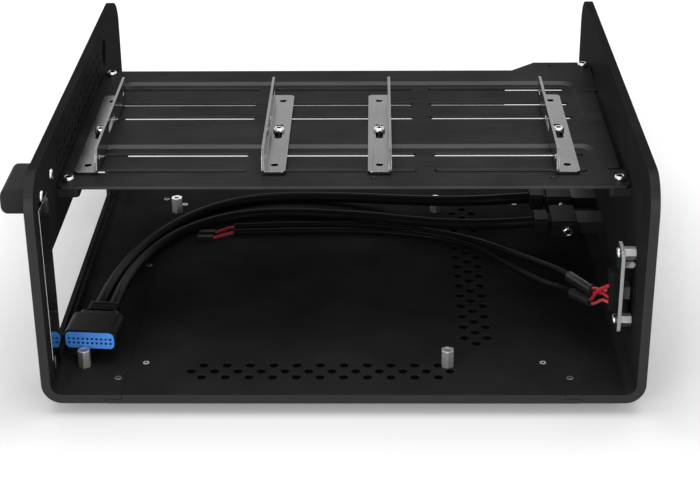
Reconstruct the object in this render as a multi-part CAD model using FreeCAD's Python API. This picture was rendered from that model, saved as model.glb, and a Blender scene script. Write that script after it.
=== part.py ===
# Open mini-ITX computer case: three aluminium panels, a drive tray with four brackets, a switch board,
# two panel USB sockets and their leads. Millimetres, +Z up, X across the rear and front walls.
# The case's middle is at Y = 0 and the feet stand on Z = 0. The origin is the middle of the footprint.
import FreeCAD
import Part
import math
import os

# Case panels
CASE_WIDTH = 250.0
CASE_DEPTH = 242.5
CASE_HEIGHT = 100.0
WALL = 4.0
BEND_RADIUS = 8.5
WALL_TOP_RADIUS = 15.0
LAP_FROM_SIDE = 33.0
LAP_LENGTH = 6.5
LAP_SCREW_OFFSETS = (14.5, 120.8, 197.8)

# Feet and their screws
FOOT_HEIGHT = 5.0
FOOT_DIAMETER = 14.0
FOOT_TAPER = 1.0
FOOT_FROM_SIDE = 40.0
FOOT_FROM_NEAR = 27.3
FOOT_FROM_FAR = 51.5
FOOT_POCKET_DIAMETER = 7.0
FOOT_POCKET_DEPTH = 2.6

# Vent holes of the base
VENT_DIAMETER = 3.6
VENT_PITCH = 10.0
STRIP_FROM_NEAR = 20.0
STRIP_START_X = -65.0
STRIP_COUNT = 12
COLUMN_X = 57.5
COLUMN_FROM_NEAR = 44.0
COLUMN_COUNT = 15

# Screws: one thread size for the case, one for the small pieces
SCREW_DIAMETER = 3.0
SCREW_HEAD_DIAMETER = 5.2
SCREW_HEAD_HEIGHT = 1.9
SMALL_SCREW_DIAMETER = 2.5
SMALL_HEAD_DIAMETER = 4.7
SMALL_HEAD_HEIGHT = 1.4
HEAD_ROUND = 0.6
THREAD_GAP = 0.05
HOLE_GAP = 0.15
COUNTERSINK_DEPTH = 1.5

# Motherboard standoffs on the mini-ITX hole pattern
BOARD_SPACING_X = 154.94
BOARD_FAR_OFFSET = 22.86
BOARD_SPACING_Y = 157.48
BOARD_HOLE_FROM_REAR = 10.16
BOARD_HOLE_FROM_NEAR = 24.6
STANDOFF_ACROSS = 5.0
STANDOFF_HEIGHT = 7.8
STANDOFF_BORE = 2.6
STANDOFF_BORE_DEPTH = 5.0

# Rear wall: I/O aperture, expansion slot, vents and the round hole
APERTURE_LENGTH = 158.75
APERTURE_HEIGHT = 44.45
APERTURE_FROM_NEAR = 29.7
APERTURE_ABOVE_FLOOR = 6.4
APERTURE_CORNER = 1.0
RECESS_DEPTH = 1.7
RECESS_MARGIN = 2.0
SLOT_FROM_NEAR = 15.3
SLOT_OPENING_WIDTH = 12.0
SLOT_OPENING_HEIGHT = 58.0
SLOT_OPENING_ABOVE_FLOOR = 17.0
WALL_VENT_ABOVE_TRAY = 8.5
WALL_VENT_FROM_NEAR = 55.0
WALL_VENT_COUNT = 13
ROUND_HOLE_DIAMETER = 13.0
ROUND_HOLE_FROM_FAR = 51.3
ROUND_HOLE_BELOW_TOP = 13.4

# Slot blank and slot cover
BLANK_WIDTH = 18.4
BLANK_THICKNESS = 0.9
BLANK_TOP_ABOVE_FLOOR = 81.3
BLANK_SHOULDER_ABOVE_FLOOR = 13.0
BLANK_TONGUE_WIDTH = 10.2
BLANK_TAB_WIDTH = 13.4
BLANK_TAB_REACH = 5.0
BLANK_NOTCH = 3.6
TAB_SLIT_GAP = 0.6
COVER_OUT = 11.5
COVER_FROM_NEAR = 9.0
COVER_LENGTH = 33.0
COVER_HEIGHT = 10.6
COVER_SKIN = 1.5
COVER_RADIUS = 4.0
COVER_RIM = 2.8
COVER_ABOVE_FLOOR = 77.4
COVER_SCREW_SPACING = 22.0
COVER_SCREW_BELOW_TOP = 4.0
COVER_BOSS_DIAMETER = 4.2

# Drive tray
TRAY_ABOVE_FLOOR = 74.0
TRAY_SHEET = 1.2
TRAY_GAP = 0.6
TRAY_FROM_NEAR = 46.0
TRAY_DEPTH = 142.0
TRAY_CORNER = 2.0
TRAY_EAR_DEPTH = 11.3
TRAY_EAR_WIDTH = 27.6
TRAY_EAR_SLOPE = 11.8
TRAY_LIP_DROP = 18.0
TRAY_LIP_INSET = 3.0
TRAY_SIDE_NEAR = 18.0
TRAY_SIDE_FAR = 28.3
TRAY_SIDE_INSET = 2.0
TRAY_SIDE_DROP = 8.0
RELIEF_WIDTH = 1.5
RELIEF_LENGTH = 7.4
FIELD_INSET = 10.6
FIELD_DEPTH = 1.2
FIELD_SLOPE = 2.2
FIELD_CORNER = 6.0
FIELDS_FROM_NEAR = ((12.0, 46.6), (73.5, 126.4))
SLOT_WIDTH = 3.6
SLOT_REAR_MARGIN = 12.8
SLOT_FRONT_MARGIN = 15.9
SLOT_BRIDGE = 7.5
SLOT_COLUMNS = 3
SLOT_ROWS_FROM_NEAR = (19.8, 37.5, 81.6, 99.2, 118.6)
TRAY_HOLE_DIAMETER = 2.4
TRAY_HOLES_FROM_NEAR = ((88.6, 9.1), (12.8, 9.1), (100.6, 148.6))

# Tray shelves and screws
SHELF_WIDTH = 9.5
SHELF_THICKNESS = 4.0
SHELF_CORNER = 2.0
NEAR_SHELF_LENGTH = 13.0
FAR_SHELF_LENGTH = 8.0
TRAY_SCREW_FROM_WALL = 4.3
NEAR_SCREW_FROM_EDGE = 7.2
FAR_SCREW_FROM_EDGE = 5.6

# Drive brackets
DRIVE_WIDTH = 69.85
DRIVE_GAP = 0.3
REAR_BAY_FROM_WALL = 15.7
FRONT_BAY_FROM_WALL = 30.4
BRACKET_FROM_TRAY_EDGE = 59.0
BRACKET_LENGTH = 92.0
BRACKET_SHEET = 1.2
BRACKET_FOOT = 10.2
BRACKET_HEIGHT = 10.4
BRACKET_NOSE = 4.6
BRACKET_NOSE_START = 3.0
BRACKET_CORNER = 2.2
DRIVE_HOLE_SPACING = 76.6
DRIVE_HOLE_DIAMETER = 3.2
FOOT_HOLE_FROM_FACE = 5.2
SIDE_HOLE_ABOVE_FOOT = 4.2
BRACKET_SLOT_LENGTH = 17.0
NUT_DIAMETER = 6.0
NUT_HEIGHT = 2.2

# Switch board on the front wall
SPACER_LENGTH = 5.1
SPACER_ACROSS = 5.0
SWITCH_BOARD_SHEET = 1.5
SWITCH_BOARD_WIDTH = 12.5
SWITCH_BOARD_HEIGHT = 37.5
SWITCH_BOARD_CORNER = 2.0
SWITCH_BOARD_FROM_NEAR = 26.2
SWITCH_BOARD_ABOVE_FLOOR = 37.0
SPACER_SPACING = 31.3
SWITCH_SIZE = 6.0
SWITCH_HEIGHT = 3.4
SWITCH_ABOVE_FLOOR = 35.3
PLUNGER_DIAMETER = 3.4
BUTTON_DIAMETER = 10.0
BUTTON_GAP = 0.1
BUTTON_PROUD = 0.8
BUTTON_FLANGE = 12.4
BUTTON_FLANGE_SHEET = 0.8
BUTTON_TRAVEL = 0.6
LIGHT_ABOVE_FLOOR = 47.3
LIGHT_DIAMETER = 3.0
LIGHT_FLANGE = 4.2
LIGHT_FLANGE_SHEET = 1.0
LIGHT_LENGTH = 5.4
HEADER_LENGTH = 18.0
HEADER_WIDTH = 6.0
HEADER_BASE = 1.2
HEADER_ABOVE_FLOOR = 35.8
LEAD_PLUG_DEPTH = 2.6
LEAD_PLUG_RIM = 0.5

# Panel USB sockets in the front wall
USB_FROM_NEAR = (154.0, 126.0)
USB_ABOVE_FLOOR = 20.1
USB_SHELL_WIDTH = 13.1
USB_SHELL_HEIGHT = 5.7
USB_SHELL_SHEET = 0.4
USB_SHELL_INSIDE = 12.5
USB_CUTOUT_GAP = 0.15
USB_TONGUE_WIDTH = 10.6
USB_TONGUE_HEIGHT = 1.9
USB_TONGUE_RECESS = 1.5
USB_BODY_LENGTH = 12.0
USB_BODY_WIDTH = 20.5
USB_BODY_HEIGHT = 9.0
USB_BODY_RADIUS = 1.4
USB_RELIEF_LENGTH = 7.6
USB_RELIEF_WIDTH = 13.0
USB_RELIEF_HEIGHT = 7.4
USB_NECK_LENGTH = 1.2
USB_NECK_INSET = 1.4
USB_SCREW_FROM_FRONT = 4.5

# USB header plug, leaning on the near rear standoff from behind and turned a little from the wall
PLUG_WIDTH = 22.8
PLUG_DEPTH = 17.6
PLUG_HEIGHT = 9.2
PLUG_SKIN = 0.8
PLUG_ABOVE_FLOOR = 6.0
PLUG_TURN = 5.0
PLUG_GAP = 0.2
PLUG_CORNER = 3.0
PLUG_RADIUS = 1.6
PLUG_SOCKET_DEPTH = 9.0
SHOULDER_LENGTH = 2.6
SHOULDER_WIDTH = 17.4
SHOULDER_INSET = 0.6
COLLAR_LENGTH = 8.7
COLLAR_WIDTH = 13.0
COLLAR_HEIGHT = 7.4
COLLAR_GROOVES = 3
GROOVE_PITCH = 2.4
GROOVE_WIDTH = 0.9
GROOVE_DEPTH = 0.5
INSERT_PROUD = 0.3
PIN_PITCH = 2.0
PIN_COLUMNS = 10
PIN_HOLE = 0.9
PIN_HOLE_DEPTH = 2.0
PIN_ROWS_ABOVE_BOTTOM = (2.5, 4.5)

# Leads: the routes are chosen by hand, from the plug or the free end to the front wall
USB_CABLE_DIAMETER = 5.2
USB_CABLE_ROUTES = (
    ((-109.2, -66.65, 19.6), (-108.3, -54.45, 19.4), (-107.6, -39.25, 17.9), (-106.3, -20.75, 15.2),
     (-103.4, -0.25, 12.7), (-98.2, 17.75, 11.6), (-90.6, 32.95, 11.6), (-81.1, 46.95, 11.6),
     (-70.0, 58.35, 11.6), (-57.3, 66.55, 11.6), (-43.1, 71.15, 11.6), (-27.7, 72.75, 11.6),
     (-10.0, 71.15, 12.2), (8.2, 65.75, 14.0), (26.0, 56.95, 17.0), (43.2, 47.95, 20.5),
     (58.0, 40.15, 24.0), (70.9, 34.75, 26.9), (82.0, 32.65, 28.7), (90.5, 32.75, 29.1)),
    ((-103.0, -67.25, 19.6), (-102.2, -54.45, 19.3), (-102.0, -40.25, 17.6), (-101.2, -26.25, 15.4),
     (-99.8, -10.85, 13.2), (-96.6, 3.95, 11.7), (-91.7, 15.75, 11.6), (-85.4, 26.55, 11.6),
     (-77.9, 35.35, 11.6), (-69.4, 42.35, 11.6), (-60.0, 47.75, 11.6), (-49.6, 51.35, 11.6),
     (-37.0, 53.05, 11.6), (-22.2, 52.65, 11.6), (-7.0, 49.65, 12.1), (8.4, 43.25, 14.3),
     (25.8, 33.95, 16.5), (42.8, 25.45, 18.7), (57.1, 18.05, 21.6), (69.4, 11.15, 24.9),
     (79.8, 6.25, 27.7), (90.5, 4.75, 29.1)),
)
PANEL_LEAD_DIAMETER = 3.3
PANEL_LEAD_ROUTES = (
    ((-57.0, 38.75, 10.65), (-41.0, 40.15, 10.65), (-24.3, 40.95, 10.65), (-4.3, 40.85, 10.65),
     (14.0, 39.55, 10.65), (27.0, 36.95, 10.7), (39.0, 32.95, 10.9), (50.0, 26.95, 11.7),
     (59.7, 18.75, 13.2), (67.2, 8.65, 15.4), (74.5, -3.65, 18.1), (81.4, -16.15, 21.1),
     (88.0, -29.65, 24.7), (95.5, -47.55, 30.0), (99.1, -58.85, 32.3)),
    ((-57.0, 32.05, 10.65), (-41.0, 33.25, 10.65), (-24.0, 33.85, 10.65), (-4.1, 33.95, 10.65),
     (13.6, 33.05, 10.65), (26.4, 30.95, 10.7), (38.4, 27.55, 10.8), (49.6, 22.15, 11.1),
     (59.4, 14.35, 12.0), (67.0, 3.75, 13.6), (74.0, -11.55, 15.7), (80.7, -26.75, 18.3),
     (87.0, -42.55, 21.9), (92.0, -54.65, 25.4), (95.5, -61.85, 28.1), (99.3, -68.85, 29.4)),
)
SLEEVE_DIAMETER = 5.0
SLEEVE_LENGTHS = (24.5, 14.2)
WIRE_DIAMETER = 1.5
WIRE_ROUTES = (
    ((106.0, -80.85, 37.8), (107.0, -83.65, 39.1), (107.8, -86.85, 41.4), (108.6, -90.25, 44.4),
     (111.8, -92.95, 46.4)),
    ((106.3, -80.95, 36.1), (107.4, -84.05, 36.9), (108.0, -87.45, 38.6), (108.7, -90.65, 41.0),
     (111.8, -93.35, 42.6)),
    ((105.5, -80.45, 32.1), (106.2, -84.05, 33.8), (106.3, -88.05, 37.0), (107.4, -92.25, 42.0),
     (111.8, -95.25, 44.7)),
    ((106.0, -80.55, 30.3), (106.9, -84.45, 31.6), (107.4, -88.65, 34.0), (108.4, -92.65, 37.4),
     (111.8, -95.65, 39.4)),
)
TAIL_DIAMETER = 1.6
TAIL_ROUTES = (
    ((-67.0, 32.25, 10.3), (-64.8, 33.35, 10.35), (-61.8, 35.75, 10.45), (-58.6, 37.95, 10.6),
     (-55.5, 38.85, 10.65)),
    ((-67.6, 26.35, 10.3), (-65.2, 27.35, 10.35), (-62.0, 29.35, 10.45), (-58.6, 31.25, 10.6),
     (-55.5, 32.15, 10.65)),
)
TAIL_IN_PLUG = 1.0
PIN_PLUG_LENGTH = 8.0
PIN_PLUG_WIDTH = 3.0
PIN_PLUG_HEIGHT = 2.6

# Levels and faces worked out from the sizes above
CASE_SHIFT_X = (COVER_OUT - BUTTON_PROUD) / 2
SIDE_X = CASE_WIDTH / 2
INNER_X = SIDE_X - WALL
NEAR_Y = -CASE_DEPTH / 2
FAR_Y = CASE_DEPTH / 2
BASE_Z = FOOT_HEIGHT
FLOOR_Z = BASE_Z + WALL
TOP_Z = BASE_Z + CASE_HEIGHT
LAP_Z = BASE_Z + WALL / 2
LAP_TOP_X = SIDE_X - LAP_FROM_SIDE
LAP_LOW_X = LAP_TOP_X + LAP_LENGTH
LAP_SCREW_X = (LAP_TOP_X + LAP_LOW_X) / 2
TRAY_Z = FLOOR_Z + TRAY_ABOVE_FLOOR
TRAY_UNDER_Z = TRAY_Z - TRAY_SHEET
TRAY_X = INNER_X - TRAY_GAP
TRAY_NEAR_Y = NEAR_Y + TRAY_FROM_NEAR
TRAY_FAR_Y = TRAY_NEAR_Y + TRAY_DEPTH
BRACKET_MIDDLE_Y = TRAY_NEAR_Y + BRACKET_FROM_TRAY_EDGE
SLOT_Y = NEAR_Y + SLOT_FROM_NEAR
SWITCH_BOARD_X = INNER_X - SPACER_LENGTH
SWITCH_BOARD_Y = NEAR_Y + SWITCH_BOARD_FROM_NEAR
STANDOFF_TOP_Z = FLOOR_Z + STANDOFF_HEIGHT
PAST = 1.0
TOUCH = 0.001
PARALLEL = 0.999
ARC_SHARE = 0.45


def vec(x, y, z):
    return FreeCAD.Vector(x, y, z)


def box(x, y, z):
    """A block between two limits along each axis."""
    return Part.makeBox(x[1] - x[0], y[1] - y[0], z[1] - z[0], vec(x[0], y[0], z[0]))


def about(middle, size):
    """The two limits of a span, from its middle and its size."""
    return (middle - size / 2, middle + size / 2)


def edges_along(shape, axis):
    """The straight edges of a shape that run along an axis."""
    lines = [edge for edge in shape.Edges if edge.Curve.TypeId == "Part::GeomLine"]
    return [edge for edge in lines if abs(edge.Curve.Direction.dot(axis)) > PARALLEL]


def rounded_box(x, y, z, axis, radius):
    """A block whose edges along one axis are rounded."""
    block = box(x, y, z)
    return block.makeFillet(radius, edges_along(block, axis))


def rod(diameter, start, end):
    """A round bar from one point to another."""
    way = end - start
    return Part.makeCylinder(diameter / 2, way.Length, start, way)


def cut_all(shape, cutters):
    return shape.cut(Part.makeCompound(cutters))


def join_all(shapes):
    return shapes[0].fuse(shapes[1:]).removeSplitter()


def polygon(points):
    return Part.Face(Part.makePolygon(points + points[:1]))


def slot_bar(middle, length, width, along, through):
    """A bar with round ends, to cut a slot: along is the slot's direction, through its depth as a vector."""
    across = through.cross(along).normalize() * (width / 2)
    reach = along * (length / 2 - width / 2)
    end = along * (length / 2)
    low = middle - reach
    high = middle + reach
    edges = [
        Part.LineSegment(low - across, high - across).toShape(),
        Part.Arc(high - across, middle + end, high + across).toShape(),
        Part.LineSegment(high + across, low + across).toShape(),
        Part.Arc(low + across, middle - end, low - across).toShape(),
    ]
    return Part.Face(Part.Wire(edges)).extrude(through)


def hexagon_bar(across, start, way, turn=0.0):
    """A hexagonal bar of a width across flats; with no turn two of its flats face along X or along Y."""
    corner = across / math.sqrt(3)
    points = []
    for step in range(6):
        angle = math.radians(60 * step + 30 + turn)
        points.append(vec(corner * math.cos(angle), corner * math.sin(angle), 0))
    bar = polygon(points).extrude(vec(0, 0, way.Length))
    bar.Placement = FreeCAD.Placement(start, FreeCAD.Rotation(vec(0, 0, 1), way))
    return bar


def pan_screw(seat, way, shank, head_diameter, head_height, length):
    """A pan-head screw: the head stands on the seat against way, and the shank runs along way."""
    head = Part.makeCylinder(head_diameter / 2, head_height, vec(0, 0, -head_height))
    rim = [edge for edge in head.Edges if abs(edge.CenterOfMass.z + head_height) < TOUCH]
    head = head.makeChamfer(HEAD_ROUND, rim)
    screw = head.fuse(Part.makeCylinder(shank / 2, length))
    screw.Placement = FreeCAD.Placement(seat, FreeCAD.Rotation(vec(0, 0, 1), way))
    return screw


def case_screw(seat, way, length):
    return pan_screw(seat, way, SCREW_DIAMETER, SCREW_HEAD_DIAMETER, SCREW_HEAD_HEIGHT, length)


def small_screw(seat, way, length):
    return pan_screw(seat, way, SMALL_SCREW_DIAMETER, SMALL_HEAD_DIAMETER, SMALL_HEAD_HEIGHT, length)


def through_hole(diameter, x, y):
    """A round cutter through the floor."""
    return rod(diameter, vec(x, y, BASE_Z - PAST), vec(x, y, FLOOR_Z + PAST))


def lap_screw_spots(side):
    return [(side * LAP_SCREW_X, NEAR_Y + offset) for offset in LAP_SCREW_OFFSETS]


def foot_spots():
    x = SIDE_X - FOOT_FROM_SIDE
    return [(side * x, y) for y in (NEAR_Y + FOOT_FROM_NEAR, FAR_Y - FOOT_FROM_FAR) for side in (-1, 1)]


def standoff_spots():
    """The four board holes: two near, two far, with the far rear one set in from the rear wall."""
    x = -INNER_X + BOARD_HOLE_FROM_REAR
    y = NEAR_Y + BOARD_HOLE_FROM_NEAR
    far = y + BOARD_SPACING_Y
    return [(x, y), (x + BOARD_SPACING_X, y), (x + BOARD_FAR_OFFSET, far), (x + BOARD_SPACING_X, far)]


def tray_screw_spots():
    """Where the tray is screwed down, with the length and middle of the shelf under each screw."""
    x = INNER_X - TRAY_SCREW_FROM_WALL
    near = TRAY_NEAR_Y + NEAR_SCREW_FROM_EDGE
    far = TRAY_FAR_Y - FAR_SCREW_FROM_EDGE
    return {
        "near_rear": (-x, near, NEAR_SHELF_LENGTH),
        "near_front": (x, near, NEAR_SHELF_LENGTH),
        "far_rear": (-x, far, FAR_SHELF_LENGTH),
        "far_front": (x, far + TRAY_EAR_DEPTH, FAR_SHELF_LENGTH),
    }


def base_vents():
    """Two strips of vent holes on a diagonal grid, one along the near edge and one along the board."""
    half = VENT_PITCH / 2
    row_y = NEAR_Y + STRIP_FROM_NEAR
    column_y = NEAR_Y + COLUMN_FROM_NEAR
    spots = [(STRIP_START_X + VENT_PITCH * i, row_y) for i in range(STRIP_COUNT)]
    spots += [(COLUMN_X, column_y + VENT_PITCH * i) for i in range(COLUMN_COUNT)]
    for offset in (-half, half):
        spots += [(STRIP_START_X + half + VENT_PITCH * i, row_y + offset) for i in range(STRIP_COUNT - 1)]
        spots += [(COLUMN_X + offset, column_y + half + VENT_PITCH * i) for i in range(COLUMN_COUNT - 1)]
    return spots


def base_plate():
    """Flat floor with a lower lip under each panel, two vent strips and the holes of feet and standoffs."""
    depth = (NEAR_Y, FAR_Y)
    plate = box((-LAP_TOP_X, LAP_TOP_X), depth, (BASE_Z, FLOOR_Z))
    plate = plate.fuse(box((-LAP_LOW_X, LAP_LOW_X), depth, (BASE_Z, LAP_Z))).removeSplitter()
    cutters = [through_hole(VENT_DIAMETER, x, y) for x, y in base_vents()]
    cutters += [through_hole(SCREW_DIAMETER + 2 * THREAD_GAP, x, y) for x, y in foot_spots()]
    for x, y in standoff_spots():
        if abs(x) < LAP_TOP_X:
            cutters.append(through_hole(SCREW_DIAMETER + 2 * THREAD_GAP, x, y))
    for side in (-1, 1):
        for x, y in lap_screw_spots(side):
            cutters.append(lap_screw(x, y, HOLE_GAP))
    return cut_all(plate, cutters)


def lap_screw(x, y, gap):
    """A countersunk screw from below, its end level with the floor; gap widens it into its own cutter."""
    shank = SCREW_DIAMETER / 2 + gap
    head = SCREW_HEAD_DIAMETER / 2 + gap
    end = FLOOR_Z + (PAST if gap else 0.0)
    cone = Part.makeCone(head, shank, COUNTERSINK_DEPTH, vec(x, y, BASE_Z))
    return cone.fuse(Part.makeCylinder(shank, end - BASE_Z, vec(x, y, BASE_Z))).removeSplitter()


def side_panel(side):
    """Wall and part of the floor bent from one thick sheet; its floor ends in an upper lip."""
    inner_radius = BEND_RADIUS - WALL
    outer = SIDE_X - BEND_RADIUS
    tilt = math.sqrt(0.5)

    def at(x, z):
        return vec(side * x, NEAR_Y, z)

    outer_mid = at(outer + BEND_RADIUS * tilt, BASE_Z + BEND_RADIUS * (1 - tilt))
    inner_mid = at(outer + inner_radius * tilt, FLOOR_Z + inner_radius * (1 - tilt))
    corners = [at(outer, BASE_Z), at(LAP_LOW_X, BASE_Z), at(LAP_LOW_X, LAP_Z), at(LAP_TOP_X, LAP_Z),
               at(LAP_TOP_X, FLOOR_Z), at(outer, FLOOR_Z)]
    edges = [Part.LineSegment(at(SIDE_X, TOP_Z), at(SIDE_X, BASE_Z + BEND_RADIUS)).toShape()]
    edges.append(Part.Arc(at(SIDE_X, BASE_Z + BEND_RADIUS), outer_mid, at(outer, BASE_Z)).toShape())
    edges += [Part.LineSegment(a, b).toShape() for a, b in zip(corners, corners[1:])]
    edges.append(Part.Arc(at(outer, FLOOR_Z), inner_mid, at(INNER_X, BASE_Z + BEND_RADIUS)).toShape())
    edges.append(Part.LineSegment(at(INNER_X, BASE_Z + BEND_RADIUS), at(INNER_X, TOP_Z)).toShape())
    edges.append(Part.LineSegment(at(INNER_X, TOP_Z), at(SIDE_X, TOP_Z)).toShape())
    panel = Part.Face(Part.Wire(edges)).extrude(vec(0, CASE_DEPTH, 0))
    outline = box((-SIDE_X, SIDE_X), (NEAR_Y, FAR_Y), (BASE_Z, TOP_Z))
    top = [edge for edge in edges_along(outline, vec(1, 0, 0)) if edge.CenterOfMass.z > TOP_Z - TOUCH]
    panel = panel.common(outline.makeFillet(WALL_TOP_RADIUS, top))
    cutters = []
    for x, y in lap_screw_spots(side):
        cutters.append(through_hole(SCREW_DIAMETER + 2 * THREAD_GAP, x, y))
    return cut_all(panel, cutters)


def rear_through(shape_y, shape_z, radius):
    """A cutter through the rear wall with rounded corners."""
    return rounded_box((-SIDE_X - PAST, -INNER_X + PAST), shape_y, shape_z, vec(1, 0, 0), radius)


def rear_hole(diameter, y, z):
    return rod(diameter, vec(-SIDE_X - PAST, y, z), vec(-INNER_X + PAST, y, z))


def aperture_spans():
    y = NEAR_Y + APERTURE_FROM_NEAR
    z = FLOOR_Z + APERTURE_ABOVE_FLOOR
    return (y, y + APERTURE_LENGTH), (z, z + APERTURE_HEIGHT)


def slot_spans():
    z = FLOOR_Z + SLOT_OPENING_ABOVE_FLOOR
    return about(SLOT_Y, SLOT_OPENING_WIDTH), (z, z + SLOT_OPENING_HEIGHT)


def blank_tab_y():
    """The tab starts short of the blank's near edge, so that it clears the end of the cover."""
    far = SLOT_Y + BLANK_WIDTH / 2
    return (far - BLANK_TAB_WIDTH, far)


def cover_spans():
    near = NEAR_Y + COVER_FROM_NEAR
    z = FLOOR_Z + COVER_ABOVE_FLOOR
    return (near, near + COVER_LENGTH), (z, z + COVER_HEIGHT)


def cover_screw_spots():
    y_span, z_span = cover_spans()
    middle = sum(y_span) / 2
    z = z_span[1] - COVER_SCREW_BELOW_TOP
    return [(middle - COVER_SCREW_SPACING / 2, z), (middle + COVER_SCREW_SPACING / 2, z)]


def wall_vents():
    """Three rows of vent holes above the tray, the middle row set half a pitch aside."""
    half = VENT_PITCH / 2
    z = TRAY_Z + WALL_VENT_ABOVE_TRAY
    start = NEAR_Y + WALL_VENT_FROM_NEAR
    spots = [(start + VENT_PITCH * i, z) for i in range(WALL_VENT_COUNT)]
    for offset in (-half, half):
        spots += [(start + half + VENT_PITCH * i, z + offset) for i in range(WALL_VENT_COUNT - 1)]
    return spots


def rear_panel():
    """The rear wall carries the I/O aperture in a shallow recess, the slot, vents and a round hole."""
    cutters = [rear_through(*aperture_spans(), APERTURE_CORNER), rear_through(*slot_spans(), APERTURE_CORNER)]
    recess_y, recess_z = [(a - RECESS_MARGIN, b + RECESS_MARGIN) for a, b in aperture_spans()]
    cutters.append(box((-INNER_X - RECESS_DEPTH, -INNER_X + PAST), recess_y, recess_z))
    tab = blank_tab_y()
    tab_top = FLOOR_Z + BLANK_TOP_ABOVE_FLOOR
    slit_y = (tab[0] - TAB_SLIT_GAP, tab[1] + TAB_SLIT_GAP)
    slit_z = (tab_top - BLANK_THICKNESS - TAB_SLIT_GAP, tab_top + TAB_SLIT_GAP)
    cutters.append(box((-SIDE_X - PAST, -INNER_X + PAST), slit_y, slit_z))
    cutters += [rear_hole(VENT_DIAMETER, y, z) for y, z in wall_vents()]
    cutters += [rear_hole(SMALL_SCREW_DIAMETER + 2 * HOLE_GAP, y, z) for y, z in cover_screw_spots()]
    cutters.append(rear_hole(ROUND_HOLE_DIAMETER, FAR_Y - ROUND_HOLE_FROM_FAR, TOP_Z - ROUND_HOLE_BELOW_TOP))
    for x, y in standoff_spots():
        if x < -LAP_TOP_X:
            cutters.append(through_hole(SCREW_DIAMETER + 2 * THREAD_GAP, x, y))
    return cut_all(side_panel(-1), cutters)


def front_hole(diameter, y, z):
    return rod(diameter, vec(INNER_X - PAST, y, z), vec(SIDE_X + PAST, y, z))


def front_panel():
    """The front wall has the button hole, the light hole and two USB cut-outs."""
    switch_z = FLOOR_Z + SWITCH_ABOVE_FLOOR
    cutters = [front_hole(BUTTON_DIAMETER + 2 * BUTTON_GAP, SWITCH_BOARD_Y, switch_z)]
    cutters.append(front_hole(LIGHT_DIAMETER + 2 * HOLE_GAP, SWITCH_BOARD_Y, FLOOR_Z + LIGHT_ABOVE_FLOOR))
    for offset in USB_FROM_NEAR:
        y = about(NEAR_Y + offset, USB_SHELL_WIDTH + 2 * USB_CUTOUT_GAP)
        z = about(FLOOR_Z + USB_ABOVE_FLOOR, USB_SHELL_HEIGHT + 2 * USB_CUTOUT_GAP)
        cutters.append(box((INNER_X - PAST, SIDE_X + PAST), y, z))
    return cut_all(side_panel(1), cutters)


def rubber_foot(x, y):
    """A tapered rubber bumper with a pocket below for the screw's head."""
    foot = Part.makeCone(FOOT_DIAMETER / 2 - FOOT_TAPER, FOOT_DIAMETER / 2, FOOT_HEIGHT, vec(x, y, 0))
    pocket = Part.makeCylinder(FOOT_POCKET_DIAMETER / 2, FOOT_POCKET_DEPTH, vec(x, y, 0))
    bore = Part.makeCylinder(SCREW_DIAMETER / 2 + HOLE_GAP, FOOT_HEIGHT, vec(x, y, 0))
    return cut_all(foot, [pocket, bore])


def foot_screws():
    length = FLOOR_Z - FOOT_POCKET_DEPTH
    return [case_screw(vec(x, y, FOOT_POCKET_DEPTH), vec(0, 0, 1), length) for x, y in foot_spots()]


def board_standoffs():
    """Hexagonal spacers with a tapped bore and a stud in the floor."""
    pieces = []
    for x, y in standoff_spots():
        bar = hexagon_bar(STANDOFF_ACROSS, vec(x, y, FLOOR_Z), vec(0, 0, STANDOFF_HEIGHT))
        bore_start = vec(x, y, STANDOFF_TOP_Z - STANDOFF_BORE_DEPTH)
        bar = bar.cut(rod(STANDOFF_BORE, bore_start, vec(x, y, STANDOFF_TOP_Z + PAST)))
        pieces.append(bar.fuse(rod(SCREW_DIAMETER, vec(x, y, BASE_Z), vec(x, y, FLOOR_Z))))
    return pieces


def rounded_outline(x, y, z, radius):
    """A rounded rectangle as a wire at one level."""
    face = rounded_box(x, y, (z, z + PAST), vec(0, 0, 1), radius)
    return min(face.Faces, key=lambda f: f.CenterOfMass.z).OuterWire


def sunk_field(y, top_z, spread):
    """The wedge-sided body of one sunk field; spread widens it into the sheet's underside."""
    half = TRAY_X - FIELD_INSET + spread
    low = half - FIELD_SLOPE
    y_top = (y[0] - spread, y[1] + spread)
    y_low = (y_top[0] + FIELD_SLOPE, y_top[1] - FIELD_SLOPE)
    upper = rounded_outline((-half, half), y_top, top_z, FIELD_CORNER)
    lower = rounded_outline((-low, low), y_low, top_z - FIELD_DEPTH, FIELD_CORNER - FIELD_SLOPE / 2)
    return Part.makeLoft([lower, upper], True, True)


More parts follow.
